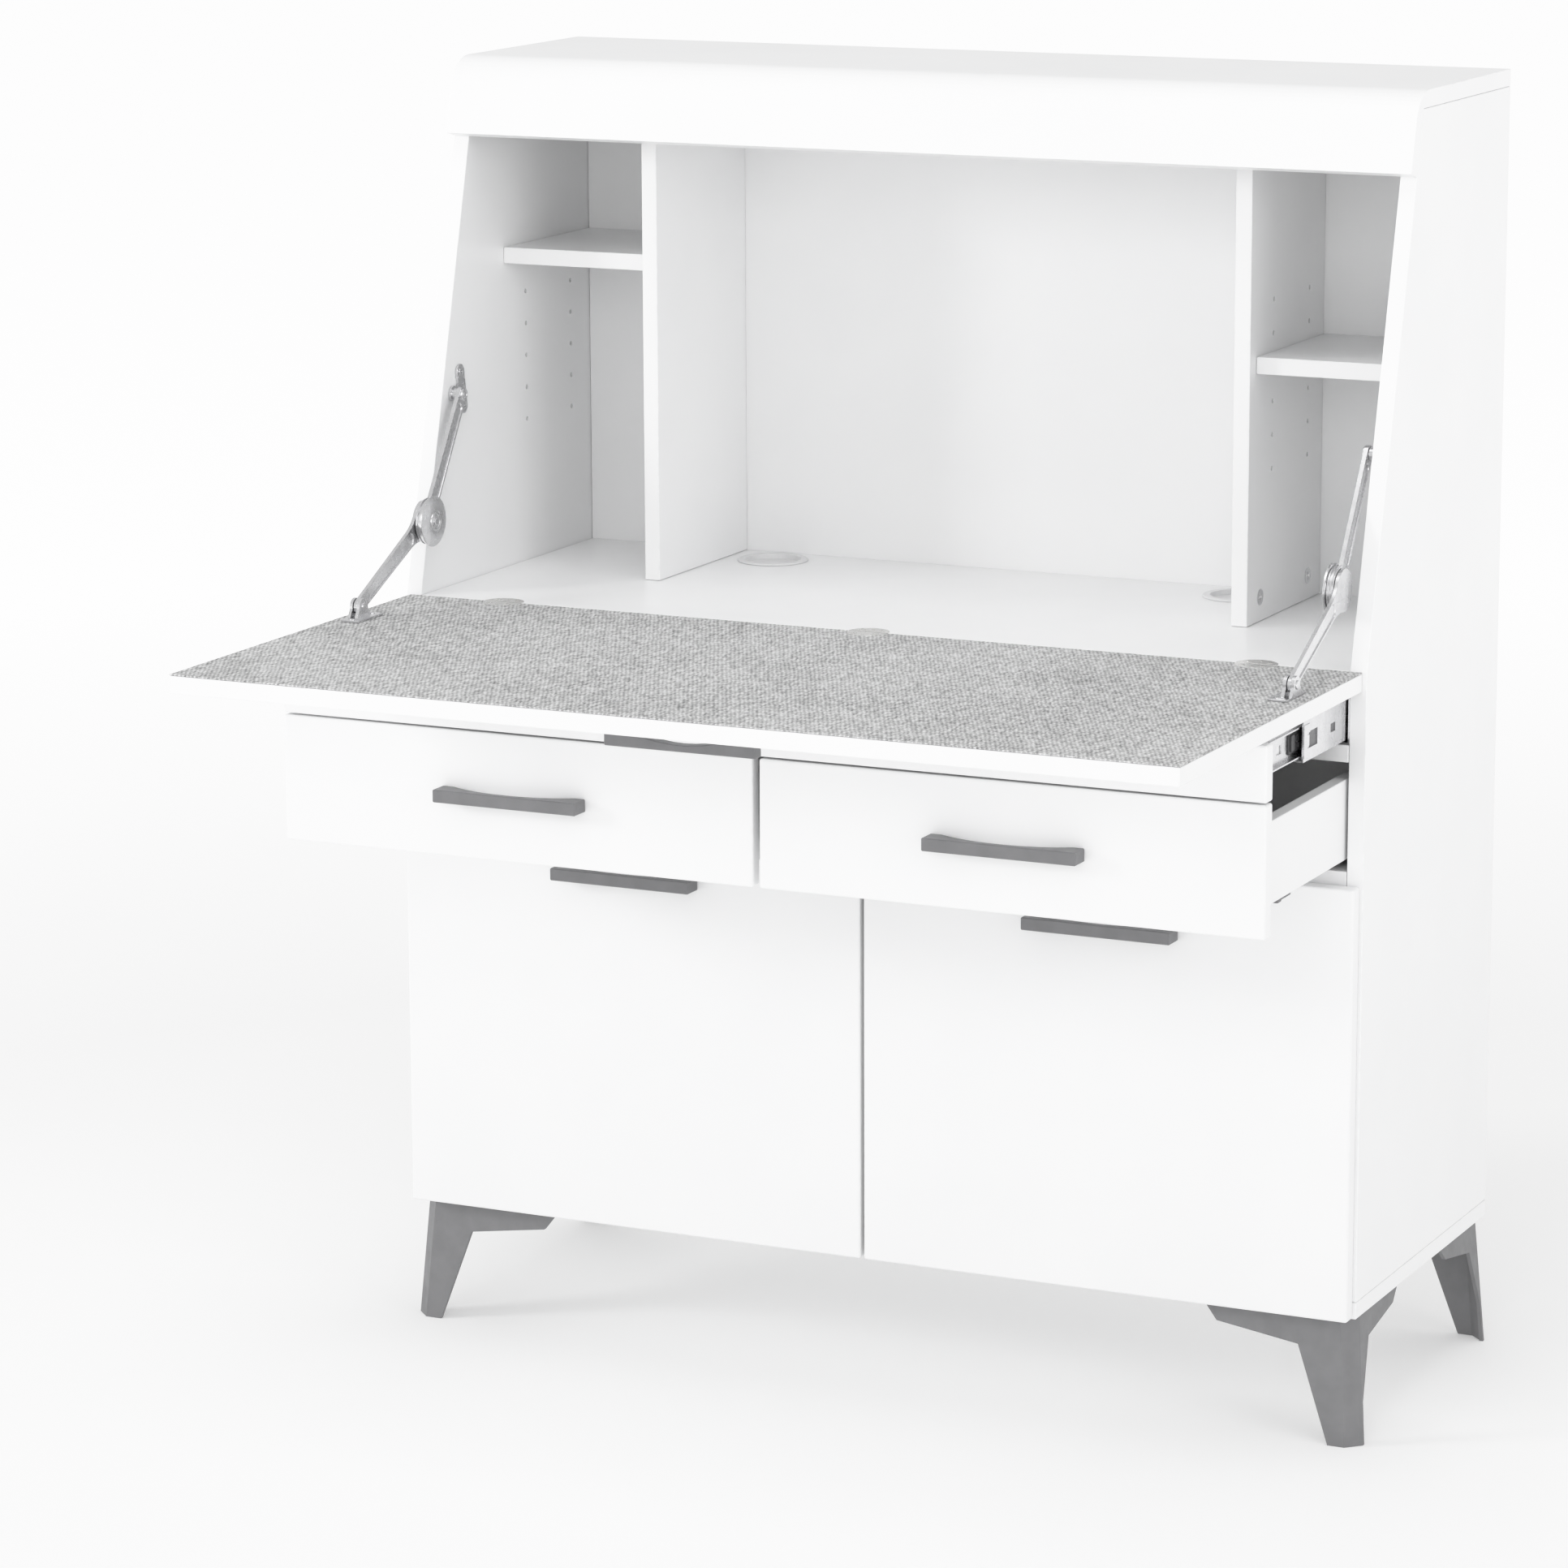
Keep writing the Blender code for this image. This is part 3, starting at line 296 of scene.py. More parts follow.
def flared_points(start, end, start_radius, neck, end_radius, flare=36 * MM):
    """Outline of a link whose end widens into a larger round."""
    along = Vector(end) - Vector(start)
    length = along.length
    along.normalize()
    across = Vector((-along.y, along.x))
    meet = end_radius * 0.72
    half = math.sqrt(end_radius ** 2 - meet ** 2)
    side_line = []
    for step in range(9):
        part = step / 8
        side_line.append((length - flare + (flare - meet) * part, neck + (half - neck) * part ** 2.2))
    points = []
    for step in range(13):
        turn = math.pi * (0.5 + step / 12)
        points.append((start_radius * math.cos(turn), start_radius * math.sin(turn)))
    points += [(a, -b) for a, b in side_line]
    first, last = math.atan2(-half, -meet), math.atan2(half, -meet)
    for step in range(1, 24):
        turn = first + (last - first) * step / 24
        points.append((length + end_radius * math.cos(turn), end_radius * math.sin(turn)))
    points += [(a, b) for a, b in reversed(side_line)]
    return [tuple(Vector(start) + along * a + across * b) for a, b in points]


SMOOTH_ANGLE = math.radians(32)


class Shape:
    """Collects closed solids, each drawn in a frame of its own (place, and u, v and n axes)."""

    def __init__(self):
        self.points = []
        self.faces = []
        self.set_frame(Vector(), X_AXIS, Y_AXIS)

    def set_frame(self, place, u, v):
        self.place, self.u, self.v = Vector(place), Vector(u).normalized(), Vector(v).normalized()
        self.n = self.u.cross(self.v)
        return self

    def facing(self, place, normal):
        """Frame at place with n along normal."""
        normal = Vector(normal).normalized()
        helper = Z_AXIS if abs(normal.z) < 0.9 else Y_AXIS
        u = helper.cross(normal).normalized()
        return self.set_frame(place, u, normal.cross(u))

    def ring(self, outline, height):
        first = len(self.points)
        for a, b in outline:
            self.points.append(self.place + self.u * a + self.v * b + self.n * height)
        return list(range(first, len(self.points)))

    def wall(self, low, high):
        count = len(low)
        for i in range(count):
            j = (i + 1) % count
            self.faces.append((low[i], low[j], high[j], high[i]))

    def cap(self, rings, up=True):
        """Flat face with holes: the first ring is its outside."""
        loops = [[self.points[i] for i in ring] for ring in rings]
        flat = [i for ring in rings for i in ring]
        for triangle in tessellate_polygon(loops):
            face = [flat[i] for i in triangle]
            a, b, c = (self.points[i] for i in face)
            if ((b - a).cross(c - a).dot(self.n) > 0) != up:
                face.reverse()
            self.faces.append(tuple(face))

    def lathe(self, profile, steps=32):
        """Turned solid: profile of (radius, height) from the lower middle to the upper middle."""
        rings = [self.ring(ring_points(radius, steps), height) for radius, height in profile]
        self.cap([rings[0]], False)
        for low, high in zip(rings, rings[1:]):
            self.wall(low, high)
        self.cap([rings[-1]], True)

    def tube(self, profile, steps=40):
        """Turned ring: a closed profile that doesn't touch the middle."""
        rings = [self.ring(ring_points(radius, steps), height) for radius, height in profile]
        for low, high in zip(rings, rings[1:] + rings[:1]):
            self.wall(low, high)

    def prism(self, outline, low, high, chamfer=0.0, inset=None):
        """Straight solid; inset is the outline of its upper face where the edge is chamfered."""
        bottom = self.ring(outline, low)
        if inset:
            shoulder = self.ring(outline, high - chamfer)
            top = self.ring(inset, high)
            self.wall(bottom, shoulder)
            self.wall(shoulder, top)
        else:
            top = self.ring(outline, high)
            self.wall(bottom, top)
        self.cap([bottom], False)
        self.cap([top], True)

    def block(self, size_u, size_v, low, high, chamfer=0.3 * MM):
        def corners(cut):
            a, b = size_u / 2 - cut, size_v / 2 - cut
            trim = 0.8 * MM if min(a, b) > 2 * MM else 0.3 * MM
            return [
                (a - trim, -b), (a, -b + trim), (a, b - trim), (a - trim, b),
                (-a + trim, b), (-a, b - trim), (-a, -b + trim), (-a + trim, -b),
            ]
        self.prism(corners(0), low, high, chamfer, corners(chamfer))

    def screw(self, radius, height, sunk=0.3 * MM, steps=28, dome=0.25):
        """Screw head with a real cross recess."""
        recess = cross_points(radius * 0.5, radius * 0.13)
        base = self.ring(ring_points(radius, steps), -sunk)
        rim = self.ring(ring_points(radius, steps), height * (1 - dome))
        top = self.ring(ring_points(radius * 0.82, steps), height)
        mouth = self.ring(recess, height)
        floor = self.ring([(a * 0.8, b * 0.8) for a, b in recess], height - radius * 0.35)
        self.cap([base], False)
        self.wall(base, rim)
        self.wall(rim, top)
        self.cap([top, mouth], True)
        self.wall(floor, mouth)
        for i in range(len(self.faces) - len(floor), len(self.faces)):
            self.faces[i] = tuple(reversed(self.faces[i]))
        self.cap([floor], True)

    def pocketed(self, outline, pocket, low, high, depth):
        """Flat solid with the same pocket pressed into both faces."""
        rings = [self.ring(outline, low), self.ring(outline, high)]
        mouths = [self.ring(pocket, low), self.ring(pocket, high)]
        shrink = sum((Vector(point) for point in pocket), Vector((0, 0))) / len(pocket)
        floor_line = [tuple(shrink + (Vector(point) - shrink) * 0.985) for point in pocket]
        floors = [self.ring(floor_line, low + depth), self.ring(floor_line, high - depth)]
        self.wall(rings[0], rings[1])
        self.cap([rings[1], mouths[1]], True)
        self.cap([rings[0], mouths[0]], False)
        self.wall(mouths[0], floors[0])
        self.wall(floors[1], mouths[1])
        for i in range(len(self.faces) - 2 * len(pocket), len(self.faces)):
            self.faces[i] = tuple(reversed(self.faces[i]))
        self.cap([floors[0]], False)
        self.cap([floors[1]], True)

    def piece(self, name, body, material, slot):
        mesh = bpy.data.meshes.new(name)
        mesh.from_pydata([tuple(point) for point in self.points], [], self.faces)
        mesh.materials.append(material)
        mesh.validate()
        mesh.shade_smooth()
        mesh.set_sharp_from_angle(angle=SMOOTH_ANGLE)
        made = bpy.data.objects.new(name, mesh)
        bpy.context.scene.collection.objects.link(made)
        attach(made, body)
        return made


def middle(node):
    low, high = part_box(node)
    return (low + high) / 2


# ---------------------------------------------------------------- folding stays

# Distances from the desk's middle plane to the faces of the stays' parts
STAY_ARM_FACE = 463.2 * MM
INNER_CHEEK_FACE = 463.9 * MM
BRACKET_MIDDLE = 465.3 * MM
WALL_PLATE_FACE = 473.2 * MM
OUTER_CHEEK_FACE = 474.6 * MM

UPPER_ARM_SHEET = 4.1 * MM
BRACKET_SHEET = 2.0 * MM
KNUCKLE_RADIUS = 24.5 * MM
KNUCKLE_DEPTH = 12.3 * MM
KNUCKLE_PROFILE = in_mm(
    (20.6, 0), (21.2, 0.5), (21.2, 6.2), (23.4, 6.5), (24.4, 7.0), (24.5, 8.6), (24.1, 9.1),
    (23.2, 9.2), (19.5, 10.1), (15.5, 10.8), (11.8, 11.2), (10.9, 11.2), (10.5, 10.7), (9.6, 10.7),
    (9.2, 11.5), (7.4, 11.7), (6.9, 11.1), (6.2, 11.1), (5.8, 11.6), (4.6, 11.6),
)
HOUSING_RIDGE = in_mm((21.0, 0), (22.6, 0), (22.6, 1.3), (21.0, 1.3))
HOUSING_RIDGE_HEIGHTS = (1.4 * MM, 4.6 * MM)
RIVET_PROFILE = in_mm(
    (6.2, -0.2), (6.2, 1.2), (5.5, 1.8), (4.0, 1.9), (3.6, 1.5), (2.8, 1.5), (2.4, 2.0), (1.2, 2.1),
)
PIVOT_PIN_PROFILE = in_mm((4.2, -0.2), (4.2, 0.5), (3.4, 1.1), (1.6, 1.2))


def pressed_arm(label, part, outline, ends, radii, limits, depth, rounding):
    """Flat arm with a channel pressed into both faces; it stands for the CAD arm."""
    start, end, start_inset, end_inset = ends
    run = (Vector(end) - Vector(start)).normalized()
    pocket_start = Vector(start) + run * start_inset
    pocket_end = Vector(end) - run * end_inset
    pocket = link_points(tuple(pocket_start), tuple(pocket_end), *radii, 10)
    arm = Shape().set_frame((0, 0, 0), Y_AXIS, Z_AXIS)
    arm.pocketed(outline, pocket, *sorted(limits), depth)
    made = arm.piece(f"stay_{label}_pressed_{part}_arm", f"stay_{label}_{part}", STEEL, "zinc_steel")
    rounded = made.modifiers.new("edges", "BEVEL")
    rounded.width, rounded.segments, rounded.limit_method = rounding, 2, "ANGLE"
    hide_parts(f"stay_{label}_{part}_arm")


def folding_stay(side, label):
    """Pressed arms, knuckle, rivets and screws of one stay."""
    inward = Vector((-side, 0, 0))
    wall = Vector(JOINTS[f"stay_{label}_upper_pivot"]["pos_m"])
    foot = Vector(JOINTS[f"stay_{label}_lower_pivot"]["pos_m"])
    low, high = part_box(f"stay_{label}_upper_arm")
    knuckle = Vector((0, low.y + KNUCKLE_RADIUS, low.z + KNUCKLE_RADIUS))
    back = min(abs(low.x), abs(high.x)) + KNUCKLE_DEPTH
    at_wall, at_foot, at_knuckle = ((point.y, point.z) for point in (wall, foot, knuckle))

    faces = [side * face for face in sorted(abs(v.x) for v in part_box(f"stay_{label}_lower_arm"))]
    outline = flared_points(at_foot, at_knuckle, 7 * MM, 8.6 * MM, 20 * MM)
    ends = (at_foot, at_knuckle, 17 * MM, 33 * MM)
    pressed_arm(label, "lower", outline, ends, (5.0 * MM, 6.4 * MM), faces, 1.0 * MM, 0.35 * MM)

    faces = (side * STAY_ARM_FACE, side * (STAY_ARM_FACE + UPPER_ARM_SHEET))
    outline = link_points(at_wall, at_knuckle, 7.4 * MM, 8.6 * MM, 18)
    ends = (at_wall, at_knuckle, 15 * MM, 29 * MM)
    pressed_arm(label, "upper", outline, ends, (5.4 * MM, 6.2 * MM), faces, 1.1 * MM, 0.3 * MM)

    # Round knuckle: a narrow housing behind a domed disc with rings around its screw.
    cover = Shape().facing((side * back, knuckle.y, knuckle.z), inward)
    cover.lathe(KNUCKLE_PROFILE, 64)
    cover.place = cover.place + inward * KNUCKLE_PROFILE[-1][1]
    cover.screw(3.9 * MM, 0.7 * MM)
    for height in HOUSING_RIDGE_HEIGHTS:
        cover.facing((side * back, knuckle.y, knuckle.z), inward)
        cover.place = cover.place + inward * height
        cover.tube(HOUSING_RIDGE, 64)
    cover.piece(f"stay_{label}_knuckle", f"stay_{label}_upper", STEEL, "zinc_steel")

    # Rivets at the two outer pivots.
    rivet = Shape().facing((side * STAY_ARM_FACE, wall.y, wall.z), inward)
    rivet.lathe(RIVET_PROFILE)
    rivet.piece(f"stay_{label}_upper_rivet", f"stay_{label}_upper", STEEL, "zinc_steel")
    bracket_low, bracket_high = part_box(f"stay_{label}_flap_bracket")
    pins = Shape()
    for x, normal in ((side * INNER_CHEEK_FACE, inward), (side * OUTER_CHEEK_FACE, -inward)):
        pins.facing((x, foot.y, foot.z), normal)
        pins.lathe(PIVOT_PIN_PROFILE)
    for y in (bracket_low.y + 5.5 * MM, bracket_high.y - 5.5 * MM):
        pins.facing((side * BRACKET_MIDDLE, y, bracket_low.z + BRACKET_SHEET), Z_AXIS)
        pins.screw(3.0 * MM, 0.8 * MM)
    pins.piece(f"stay_{label}_bracket_fixings", "flap", STEEL, "zinc_steel")

    # Two screws in the wall plate.
    plate_low, plate_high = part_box(f"stay_{label}_wall_plate")
    screws = Shape()
    lower_screw = (plate_high.y - 7.2 * MM, plate_low.z + 7.5 * MM)
    upper_screw = (plate_high.y - 13.2 * MM, plate_high.z - 7.2 * MM)
    for y, z in (lower_screw, upper_screw):
        screws.facing((side * WALL_PLATE_FACE, y, z), inward)
        screws.screw(3.4 * MM, 0.9 * MM)
    screws.piece(f"stay_{label}_wall_screws", "case", STEEL, "zinc_steel")


for side, label in SIDES:
    folding_stay(side, label)


# ---------------------------------------------------------------- flap fixings

HANDLE_SCREW_X = 64 * MM
surface_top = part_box("writing_surface")[1].z
handle_y = middle("flap_handle").y
shape = Shape()
for side, label in SIDES:
    shape.facing((side * HANDLE_SCREW_X, handle_y, surface_top), Z_AXIS)
    shape.screw(3.6 * MM, 0.25 * MM, dome=0.6)
shape.piece("flap_handle_screws", "flap", STEEL, "zinc_steel")

for label in ("left", "middle", "right"):
    for part, body in (("deck", "case"), ("flap", "flap")):
        half_low, half_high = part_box(f"flap_hinge_{label}_{part}_half")
        sign = 1 if part == "deck" else -1
        x = (half_low.x + half_high.x) / 2
        shape = Shape()
        for offset in (-10, 10):
            shape.facing((x + offset * MM, HINGE_LINE.y + sign * 9.5 * MM, half_high.z), Z_AXIS)
            shape.screw(2.9 * MM, 0.3 * MM, dome=0.5)
        shape.facing((x, HINGE_LINE.y + sign * 12.5 * MM, half_high.z), Z_AXIS)
        shape.lathe(in_mm((1.6, -0.2), (1.6, 0.15), (1.3, 0.25)), 20)
        shape.piece(f"flap_hinge_{label}_{part}_screws", body, NICKEL, "nickel")


# ---------------------------------------------------------------- shelves, caps and outlets

SHELF_SUPPORT_Y = (224 * MM + HINGE_LINE.y, 320 * MM + HINGE_LINE.y)
CAM_FITTING_Y = (197.3 * MM + HINGE_LINE.y, 325.6 * MM + HINGE_LINE.y)
CAM_FITTING_HEIGHT = 23.3 * MM


def shelf_supports(side, label):
    """Four spoon supports, each a flat tongue under the shelf."""
    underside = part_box(f"shelf_{label}")[0].z
    shape = Shape()
    for panel, direction in ((f"divider_{label}", side), (f"side_panel_{label}", -side)):
        panel_low, panel_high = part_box(panel)
        faces = (panel_low.x, panel_high.x)
        face = max(faces) if direction > 0 else min(faces)
        for y in SHELF_SUPPORT_Y:
            shape.set_frame((face + direction * 4.5 * MM, y, underside - 1.7 * MM), X_AXIS, Y_AXIS)
            shape.block(8.6 * MM, 9 * MM, 0, 1.5 * MM)
    shape.piece(f"shelf_{label}_supports", "case", NICKEL, "nickel")


def cam_caps(side, label):
    """Two cam fittings low on the divider, on the side that faces the bay."""
    low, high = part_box(f"divider_{label}")
    face = high.x if side > 0 else low.x
    shape = Shape()
    for y in CAM_FITTING_Y:
        shape.facing((face, y, low.z + CAM_FITTING_HEIGHT), (side, 0, 0))
        shape.screw(7.8 * MM, 0.5 * MM, sunk=0.2 * MM, steps=40, dome=0.4)
    shape.piece(f"divider_{label}_cam_fittings", "case", STEEL, "zinc_steel")


def front_screws(node, body, handle):
    """Screw heads of a handle on the inside of its front."""
    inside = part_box(node)[1].y
    centre = middle(handle)
    shape = Shape()
    for offset in (-HANDLE_SCREW_X, HANDLE_SCREW_X):
        shape.facing((centre.x + offset, inside, centre.z), Y_AXIS)
        shape.screw(3.6 * MM, 1.6 * MM if body.startswith("drawer") else 0.25 * MM)
    shape.piece(f"{handle}_screws", body, STEEL, "zinc_steel")


for side, label in SIDES:
    shelf_supports(side, label)
    cam_caps(side, label)
    front_screws(f"drawer_{label}_front", f"drawer_{label}", f"drawer_{label}_handle")
    front_screws(f"door_{label}", f"door_{label}", f"door_{label}_handle")


# ---------------------------------------------------------------- tray slides

# Distances from the desk's middle plane to the faces of the slides' parts
SLIDE_SCREW_FACE = 464.6 * MM
LEVER_BACK = 464.7 * MM
LEVER_FRONT = 466.3 * MM
BALL_LINE = 468.2 * MM

LEVER_Y = HINGE_LINE.y - 111 * MM
BALL_RADIUS = 1.2 * MM
BALL_ANGLES = (0.15, 0.6, 1.05, 1.57, 2.1, 2.55, 3.0)
BALL_PROFILE = [(BALL_RADIUS * math.sin(t), -BALL_RADIUS * math.cos(t)) for t in BALL_ANGLES]
BALLS_PER_ROW = 10
CLIP_OUTLINE = in_mm(
    (0, -15), (15, -15), (15, -7), (9, -7), (9, -5), (13, -5),
    (13, 5), (9, 5), (9, 7), (15, 7), (15, 15), (0, 15),
)


def release_lever(side, label, z):
    """Plastic lever with a grip, a tongue and a ring."""
    outward = (side, 0, 0)
    lever = Shape().facing((side * LEVER_BACK, LEVER_Y, z + 1.5 * MM), outward)
    lever.block(36 * MM, 20 * MM, 0, 1.6 * MM, 0.5 * MM)
    lever.facing((side * LEVER_FRONT, LEVER_Y - 11 * MM, z + 1.5 * MM), outward)
    lever.block(9 * MM, 15 * MM, 0, 1.6 * MM, 0.6 * MM)
    lever.facing((side * LEVER_FRONT, LEVER_Y + 9 * MM, z - 3 * MM), outward)
    lever.block(12 * MM, 5 * MM, 0, 1.3 * MM, 0.4 * MM)
    lever.facing((side * LEVER_FRONT, LEVER_Y - 1 * MM, z + 4 * MM), outward)
    lever.tube(in_mm((2.4, -0.2), (3.8, -0.2), (3.8, 1.4), (2.4, 1.4)), 28)
    lever.piece(f"slide_{label}_release_lever", "tray", BLACK_PLASTIC, "outlet_plastic")


def tray_slide_details(side, label):
    """Release lever, screws, end clip, cage and balls of one ball-bearing slide."""
    outward = (side, 0, 0)
    low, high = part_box(f"slide_{label}_tray_member")
    z = (low.z + high.z) / 2
    release_lever(side, label, z)
    screws = Shape()
    for y in (low.y + 55 * MM, low.y + 190 * MM, high.y - 40 * MM):
        screws.facing((side * SLIDE_SCREW_FACE, y, z), outward)
        screws.screw(3.3 * MM, 0.9 * MM)
    screws.piece(f"slide_{label}_tray_screws", "tray", STEEL, "zinc_steel")

    low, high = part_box(f"slide_{label}_middle_member")
    outer_x = max(abs(low.x), abs(high.x))
    z = (low.z + high.z) / 2
    clip = Shape().set_frame((0, 0, 0), Y_AXIS, Z_AXIS)
    front = low.y + 0.4 * MM
    span = sorted((side * (outer_x - 0.2 * MM), side * (outer_x + 0.7 * MM)))
    clip.prism([(a + front, b + z) for a, b in CLIP_OUTLINE], *span)
    clip.piece(f"slide_{label}_end_clip", "slide_middles", STEEL, "zinc_steel")
    cage = Shape().facing((side * (outer_x - 2.2 * MM), low.y + 48 * MM, z), outward)
    cage.block(90 * MM, 17 * MM, 0, 0.7 * MM, 0.2 * MM)
    cage.piece(f"slide_{label}_cage", "slide_middles", GREY_PLASTIC, "outlet_plastic")
    balls = Shape()
    for row_z in (low.z + 3.1 * MM, high.z - 3.1 * MM):
        for step in range(BALLS_PER_ROW):
            y = high.y - (12 + 9 * step) * MM
            balls.facing((side * BALL_LINE, y, row_z), Z_AXIS)
            balls.lathe(BALL_PROFILE, 14)
    balls.piece(f"slide_{label}_balls", "slide_middles", STEEL, "zinc_steel")


CATCH_Y = HINGE_LINE.y - 150 * MM


def drawer_levers(side, label):
    """Plastic catches under both sides of a drawer box."""
    low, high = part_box(f"drawer_{label}_box")
    shape = Shape()
    y = CATCH_Y
    inner, outer = sorted((abs(low.x), abs(high.x)))
    for x in (side * (inner + 6 * MM), side * (outer - 6 * MM)):
        shape.set_frame((x, y, low.z), X_AXIS, -Y_AXIS)
        shape.block(10 * MM, 32 * MM, 0, 2.4 * MM, 0.5 * MM)
        shape.set_frame((x, y - 9 * MM, low.z), X_AXIS, -Y_AXIS)
        shape.block(8 * MM, 9 * MM, 2.0 * MM, 4.6 * MM, 0.8 * MM)
    shape.piece(f"drawer_{label}_catches", f"drawer_{label}", GREY_PLASTIC, "outlet_plastic")


# ---------------------------------------------------------------- door hinges

SIDE_PANEL_FACE = 476 * MM
HINGE_FROM_END = 85 * MM
CUP_FROM_EDGE = 24 * MM
CUP_RIM_PROFILE = in_mm((17.5, -0.2), (17.5, 0.2), (17.1, 0.35), (14.6, 0.35), (14.6, -0.2))
CUP_WELL_PROFILE = in_mm((14.5, -0.2), (14.5, 0.1))
PLATE_SCREW_OFFSET = 5.76 * MM


def door_hinges(side, label):
    """Cup and link on the door, arm and mounting plate on the side panel."""
    low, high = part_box(f"door_{label}")
    inward = (-side, 0, 0)
    back = high.y
    cup_x = side * (max(abs(low.x), abs(high.x)) - CUP_FROM_EDGE)
    cups, wells, arms = Shape(), Shape(), Shape()

    def on_panel(height, y, z):
        arms.facing((side * (SIDE_PANEL_FACE - height), back + y, z), inward)

    for z in (low.z + HINGE_FROM_END, high.z - HINGE_FROM_END):
        cups.facing((cup_x, back, z), Y_AXIS)
        cups.tube(CUP_RIM_PROFILE, 48)
        wells.facing((cup_x, back, z), Y_AXIS)
        wells.lathe(CUP_WELL_PROFILE, 48)
        cups.set_frame((side * (SIDE_PANEL_FACE - 22 * MM), back + 0.1 * MM, z), X_AXIS, -Z_AXIS)
        cups.block(9 * MM, 16 * MM, 0, 9 * MM, 1.2 * MM)
        on_panel(0.3 * MM, 40 * MM, z)
        arms.block(46 * MM, 18 * MM, 0, 2 * MM, 0.5 * MM)
        on_panel(2.0 * MM, 32 * MM, z)
        arms.block(58 * MM, 13 * MM, 0, 9 * MM, 1.6 * MM)
        on_panel(11 * MM, 44 * MM, z)
        arms.screw(3.6 * MM, 1.0 * MM)
        for offset in (-PLATE_SCREW_OFFSET, PLATE_SCREW_OFFSET):
            on_panel(1.8 * MM, 58 * MM, z + offset)
            arms.screw(1.9 * MM, 0.6 * MM, steps=20)
    cups.piece(f"door_{label}_hinge_cups", f"door_{label}", NICKEL, "nickel")
    wells.piece(f"door_{label}_hinge_wells", f"door_{label}", GREY_PLASTIC, "outlet_plastic")
    arms.piece(f"door_{label}_hinge_arms", "case", NICKEL, "nickel")


# ---------------------------------------------------------------- back and underside

NAIL_PROFILE = in_mm((2.2, -0.2), (2.2, 0.2), (1.5, 0.45))
NAIL_INSET = 7 * MM
NAIL_SPACING = 0.12
NAILS_PER_ROW = 8


def back_nails():
    """Small nail heads along the edges of the back panel and behind its boards."""
    low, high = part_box("back_panel")
    divider_x = middle("divider_right").x
    deck_z = middle("writing_deck").z
    left, right = low.x + NAIL_INSET, high.x - NAIL_INSET
    shape = Shape()
    for x, bottom in ((left, low.z), (right, low.z), (-divider_x, deck_z), (divider_x, deck_z)):
        count = int((high.z - bottom) / NAIL_SPACING)
        run = high.z - bottom - 2 * NAIL_INSET
        for step in range(count + 1):
            shape.facing((x, high.y, bottom + NAIL_INSET + run * step / count), Y_AXIS)
            shape.lathe(NAIL_PROFILE, 16)
    for z in (low.z + NAIL_INSET, deck_z, high.z - NAIL_INSET):
        for step in range(1, NAILS_PER_ROW + 1):
            x = left + (right - left) * step / (NAILS_PER_ROW + 1)
            shape.facing((x, high.y, z), Y_AXIS)
            shape.lathe(NAIL_PROFILE, 16)
    shape.piece("back_nails", "case", STEEL, "zinc_steel")


# Screws of a foot's top plate, in millimetres from its corner along X and Y
FOOT_SCREW_PLACES = in_mm((118, 20), (55, 20), (26, 26), (26, 62), (26, 95))
FOOT_PLATE_DROP = 4.0 * MM


def foot_screws(label, end):
    """Screws through the foot's top plate."""
    low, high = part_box(f"foot_{end}_{label}")
    side = 1 if label == "right" else -1
    front = 1 if end == "front" else -1
    corner_x = max(abs(low.x), abs(high.x))
    corner_y = low.y if front > 0 else high.y
    shape = Shape()
    for dx, dy in FOOT_SCREW_PLACES:
        place = (side * (corner_x - dx), corner_y + front * dy, high.z - FOOT_PLATE_DROP)
        shape.facing(place, -Z_AXIS)
        shape.screw(3.8 * MM, 1.2 * MM)
    shape.piece(f"foot_{end}_{label}_screws", "case", STEEL, "zinc_steel")


back_nails()
for side, label in SIDES:
    tray_slide_details(side, label)
    drawer_levers(side, label)
    door_hinges(side, label)
    for end in ("front", "back"):
        foot_screws(label, end)


# ---------------------------------------------------------------- stage, light and camera

# The lamps fade with distance, so the floor glows more far away, to stay evenly pale.
FLOOR_GLOW_NEAR, FLOOR_GLOW_FAR = 0.2, 0.66
GLOW_STARTS, GLOW_ENDS = 1.6, 4.5
FLOOR_HALF = 40.0


def floor():
    mesh = bpy.data.meshes.new("floor")
    corners = [(FLOOR_HALF * x, FLOOR_HALF * y, 0) for x, y in ((-1, -1), (1, -1), (1, 1), (-1, 1))]
    mesh.from_pydata(corners, [], [(0, 1, 2, 3)])
    made = bpy.data.objects.new("floor", mesh)
    bpy.context.scene.collection.objects.link(made)
    look = Look("pale_floor", specular=0.1)
    look.put(look.shader.inputs["Emission Color"], (1.0, 1.0, 1.0, 1.0))
    square = [look.math("MULTIPLY", part, part) for part in look.parts[:2]]
    distance = look.math("SQRT", look.math("ADD", *square))
    glow = look.remap(distance, GLOW_STARTS, GLOW_ENDS, FLOOR_GLOW_NEAR, FLOOR_GLOW_FAR)
    look.put(look.shader.inputs["Emission Strength"], glow)
    tone = look.mix(look.noise(0.4, 3), (0.82, 0.82, 0.82), (0.8, 0.8, 0.8))
    mesh.materials.append(look.finish(tone, 0.9))


def area_light(name, place, aim, size, power):
    """Square lamp, size metres wide, at place and turned to aim."""
    data = bpy.data.lights.new(name, "AREA")
    data.energy, data.size = power, size
    made = bpy.data.objects.new(name, data)
    made.location = place
    made.rotation_mode = "QUATERNION"
    made.rotation_quaternion = (Vector(aim) - Vector(place)).to_track_quat("-Z", "Y")
    bpy.context.scene.collection.objects.link(made)


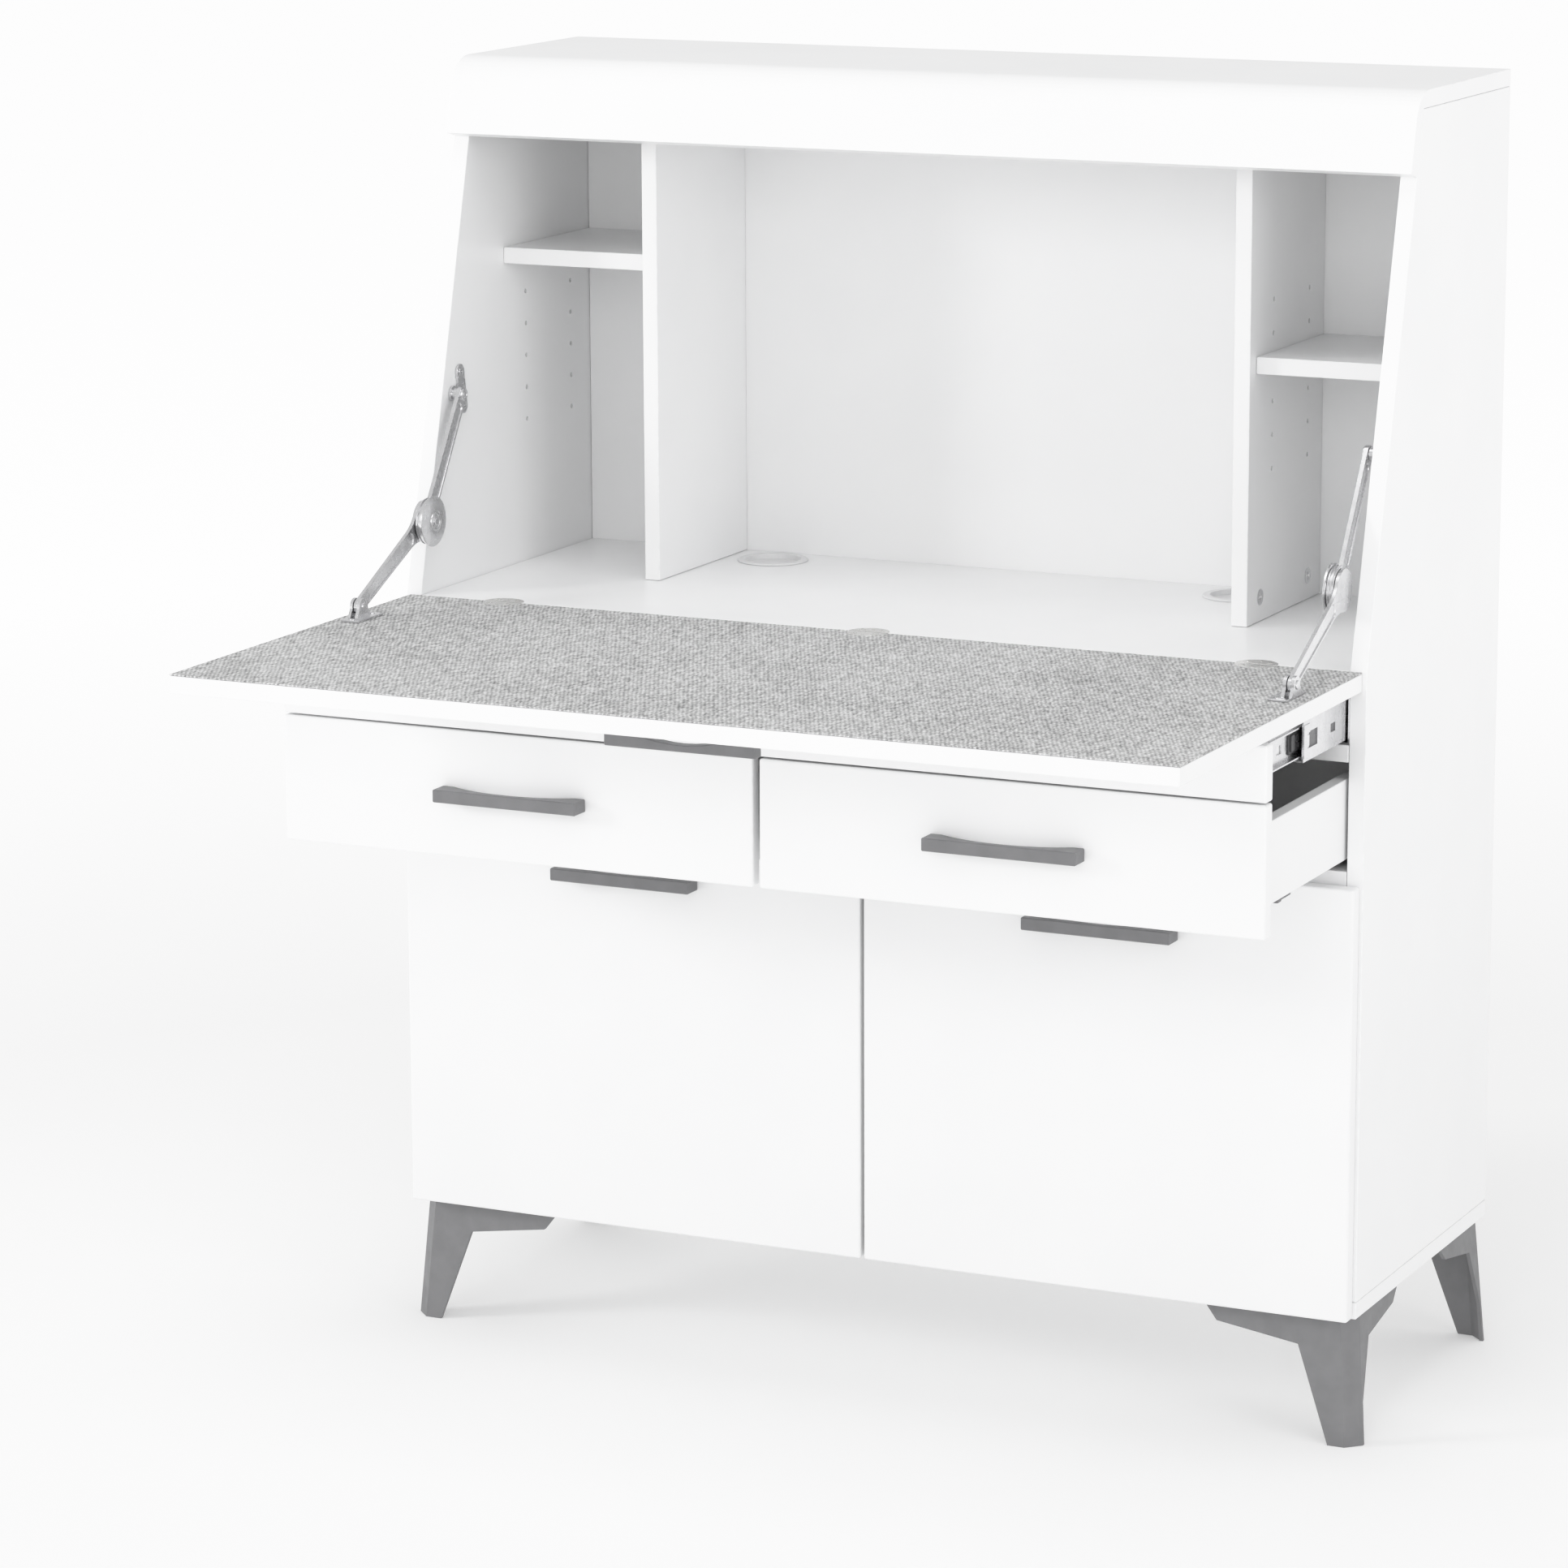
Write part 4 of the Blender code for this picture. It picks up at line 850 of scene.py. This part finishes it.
floor()
world = bpy.data.worlds.new("studio")
bpy.context.scene.world = world
world.use_nodes = True
background = world.node_tree.nodes["Background"]
background.inputs["Color"].default_value = (1.0, 1.0, 1.0, 1.0)
background.inputs["Strength"].default_value = 0.76
area_light("key", (-3.9, -2.6, 2.0), (0, 0.1, 0.75), 0.9, 66)
area_light("front", (1.2, -5.0, 1.9), (0, 0, 0.8), 2.6, 42)
area_light("right", (5.0, -2.2, 1.9), (0, 0, 0.7), 2.4, 52)
area_light("top", (0.3, -1.6, 5.2), (0, 0, 0.8), 2.6, 57)

CAMERA_PLACE = (2.163, -4.731 + HINGE_LINE.y, 1.702)
LENS = 130.1
camera_data = bpy.data.cameras.new("camera")
camera_data.sensor_width = 36.0
camera_data.lens = LENS
camera_data.clip_start, camera_data.clip_end = 0.05, 200.0
camera = bpy.data.objects.new("camera", camera_data)
bpy.context.scene.collection.objects.link(camera)
# Fitted to the photograph without lens shift; yaw is measured from +Y.
YAW, PITCH, ROLL = math.radians(-25.44), math.radians(-12.12), math.radians(-0.25)
forward = Vector((math.sin(YAW) * math.cos(PITCH), math.cos(YAW) * math.cos(PITCH), math.sin(PITCH)))
right = Vector((math.cos(YAW), -math.sin(YAW), 0))
upward = right.cross(forward)
rolled_right = right * math.cos(ROLL) + upward * math.sin(ROLL)
rolled_up = upward * math.cos(ROLL) - right * math.sin(ROLL)
turn = Matrix((rolled_right, rolled_up, -forward)).transposed().to_4x4()
camera.matrix_world = Matrix.Translation(CAMERA_PLACE) @ turn
bpy.context.scene.camera = camera

# Tone curve of the photograph: straight up to 0.6, then a soft shoulder that reaches white at 1.5.
WHITE_POINT = 1.5
SHOULDER = ((0.3, 0.3), (0.6, 0.6), (0.8, 0.773), (1.0, 0.893), (1.1, 0.936), (1.2, 0.966))
view = bpy.context.scene.view_settings
view.view_transform = "Standard"
view.use_curve_mapping = True
view.curve_mapping.white_level = (WHITE_POINT, WHITE_POINT, WHITE_POINT)
for entered, shown in SHOULDER:
    view.curve_mapping.curves[3].points.new(entered / WHITE_POINT, shown)
view.curve_mapping.update()

bpy.context.view_layer.update()
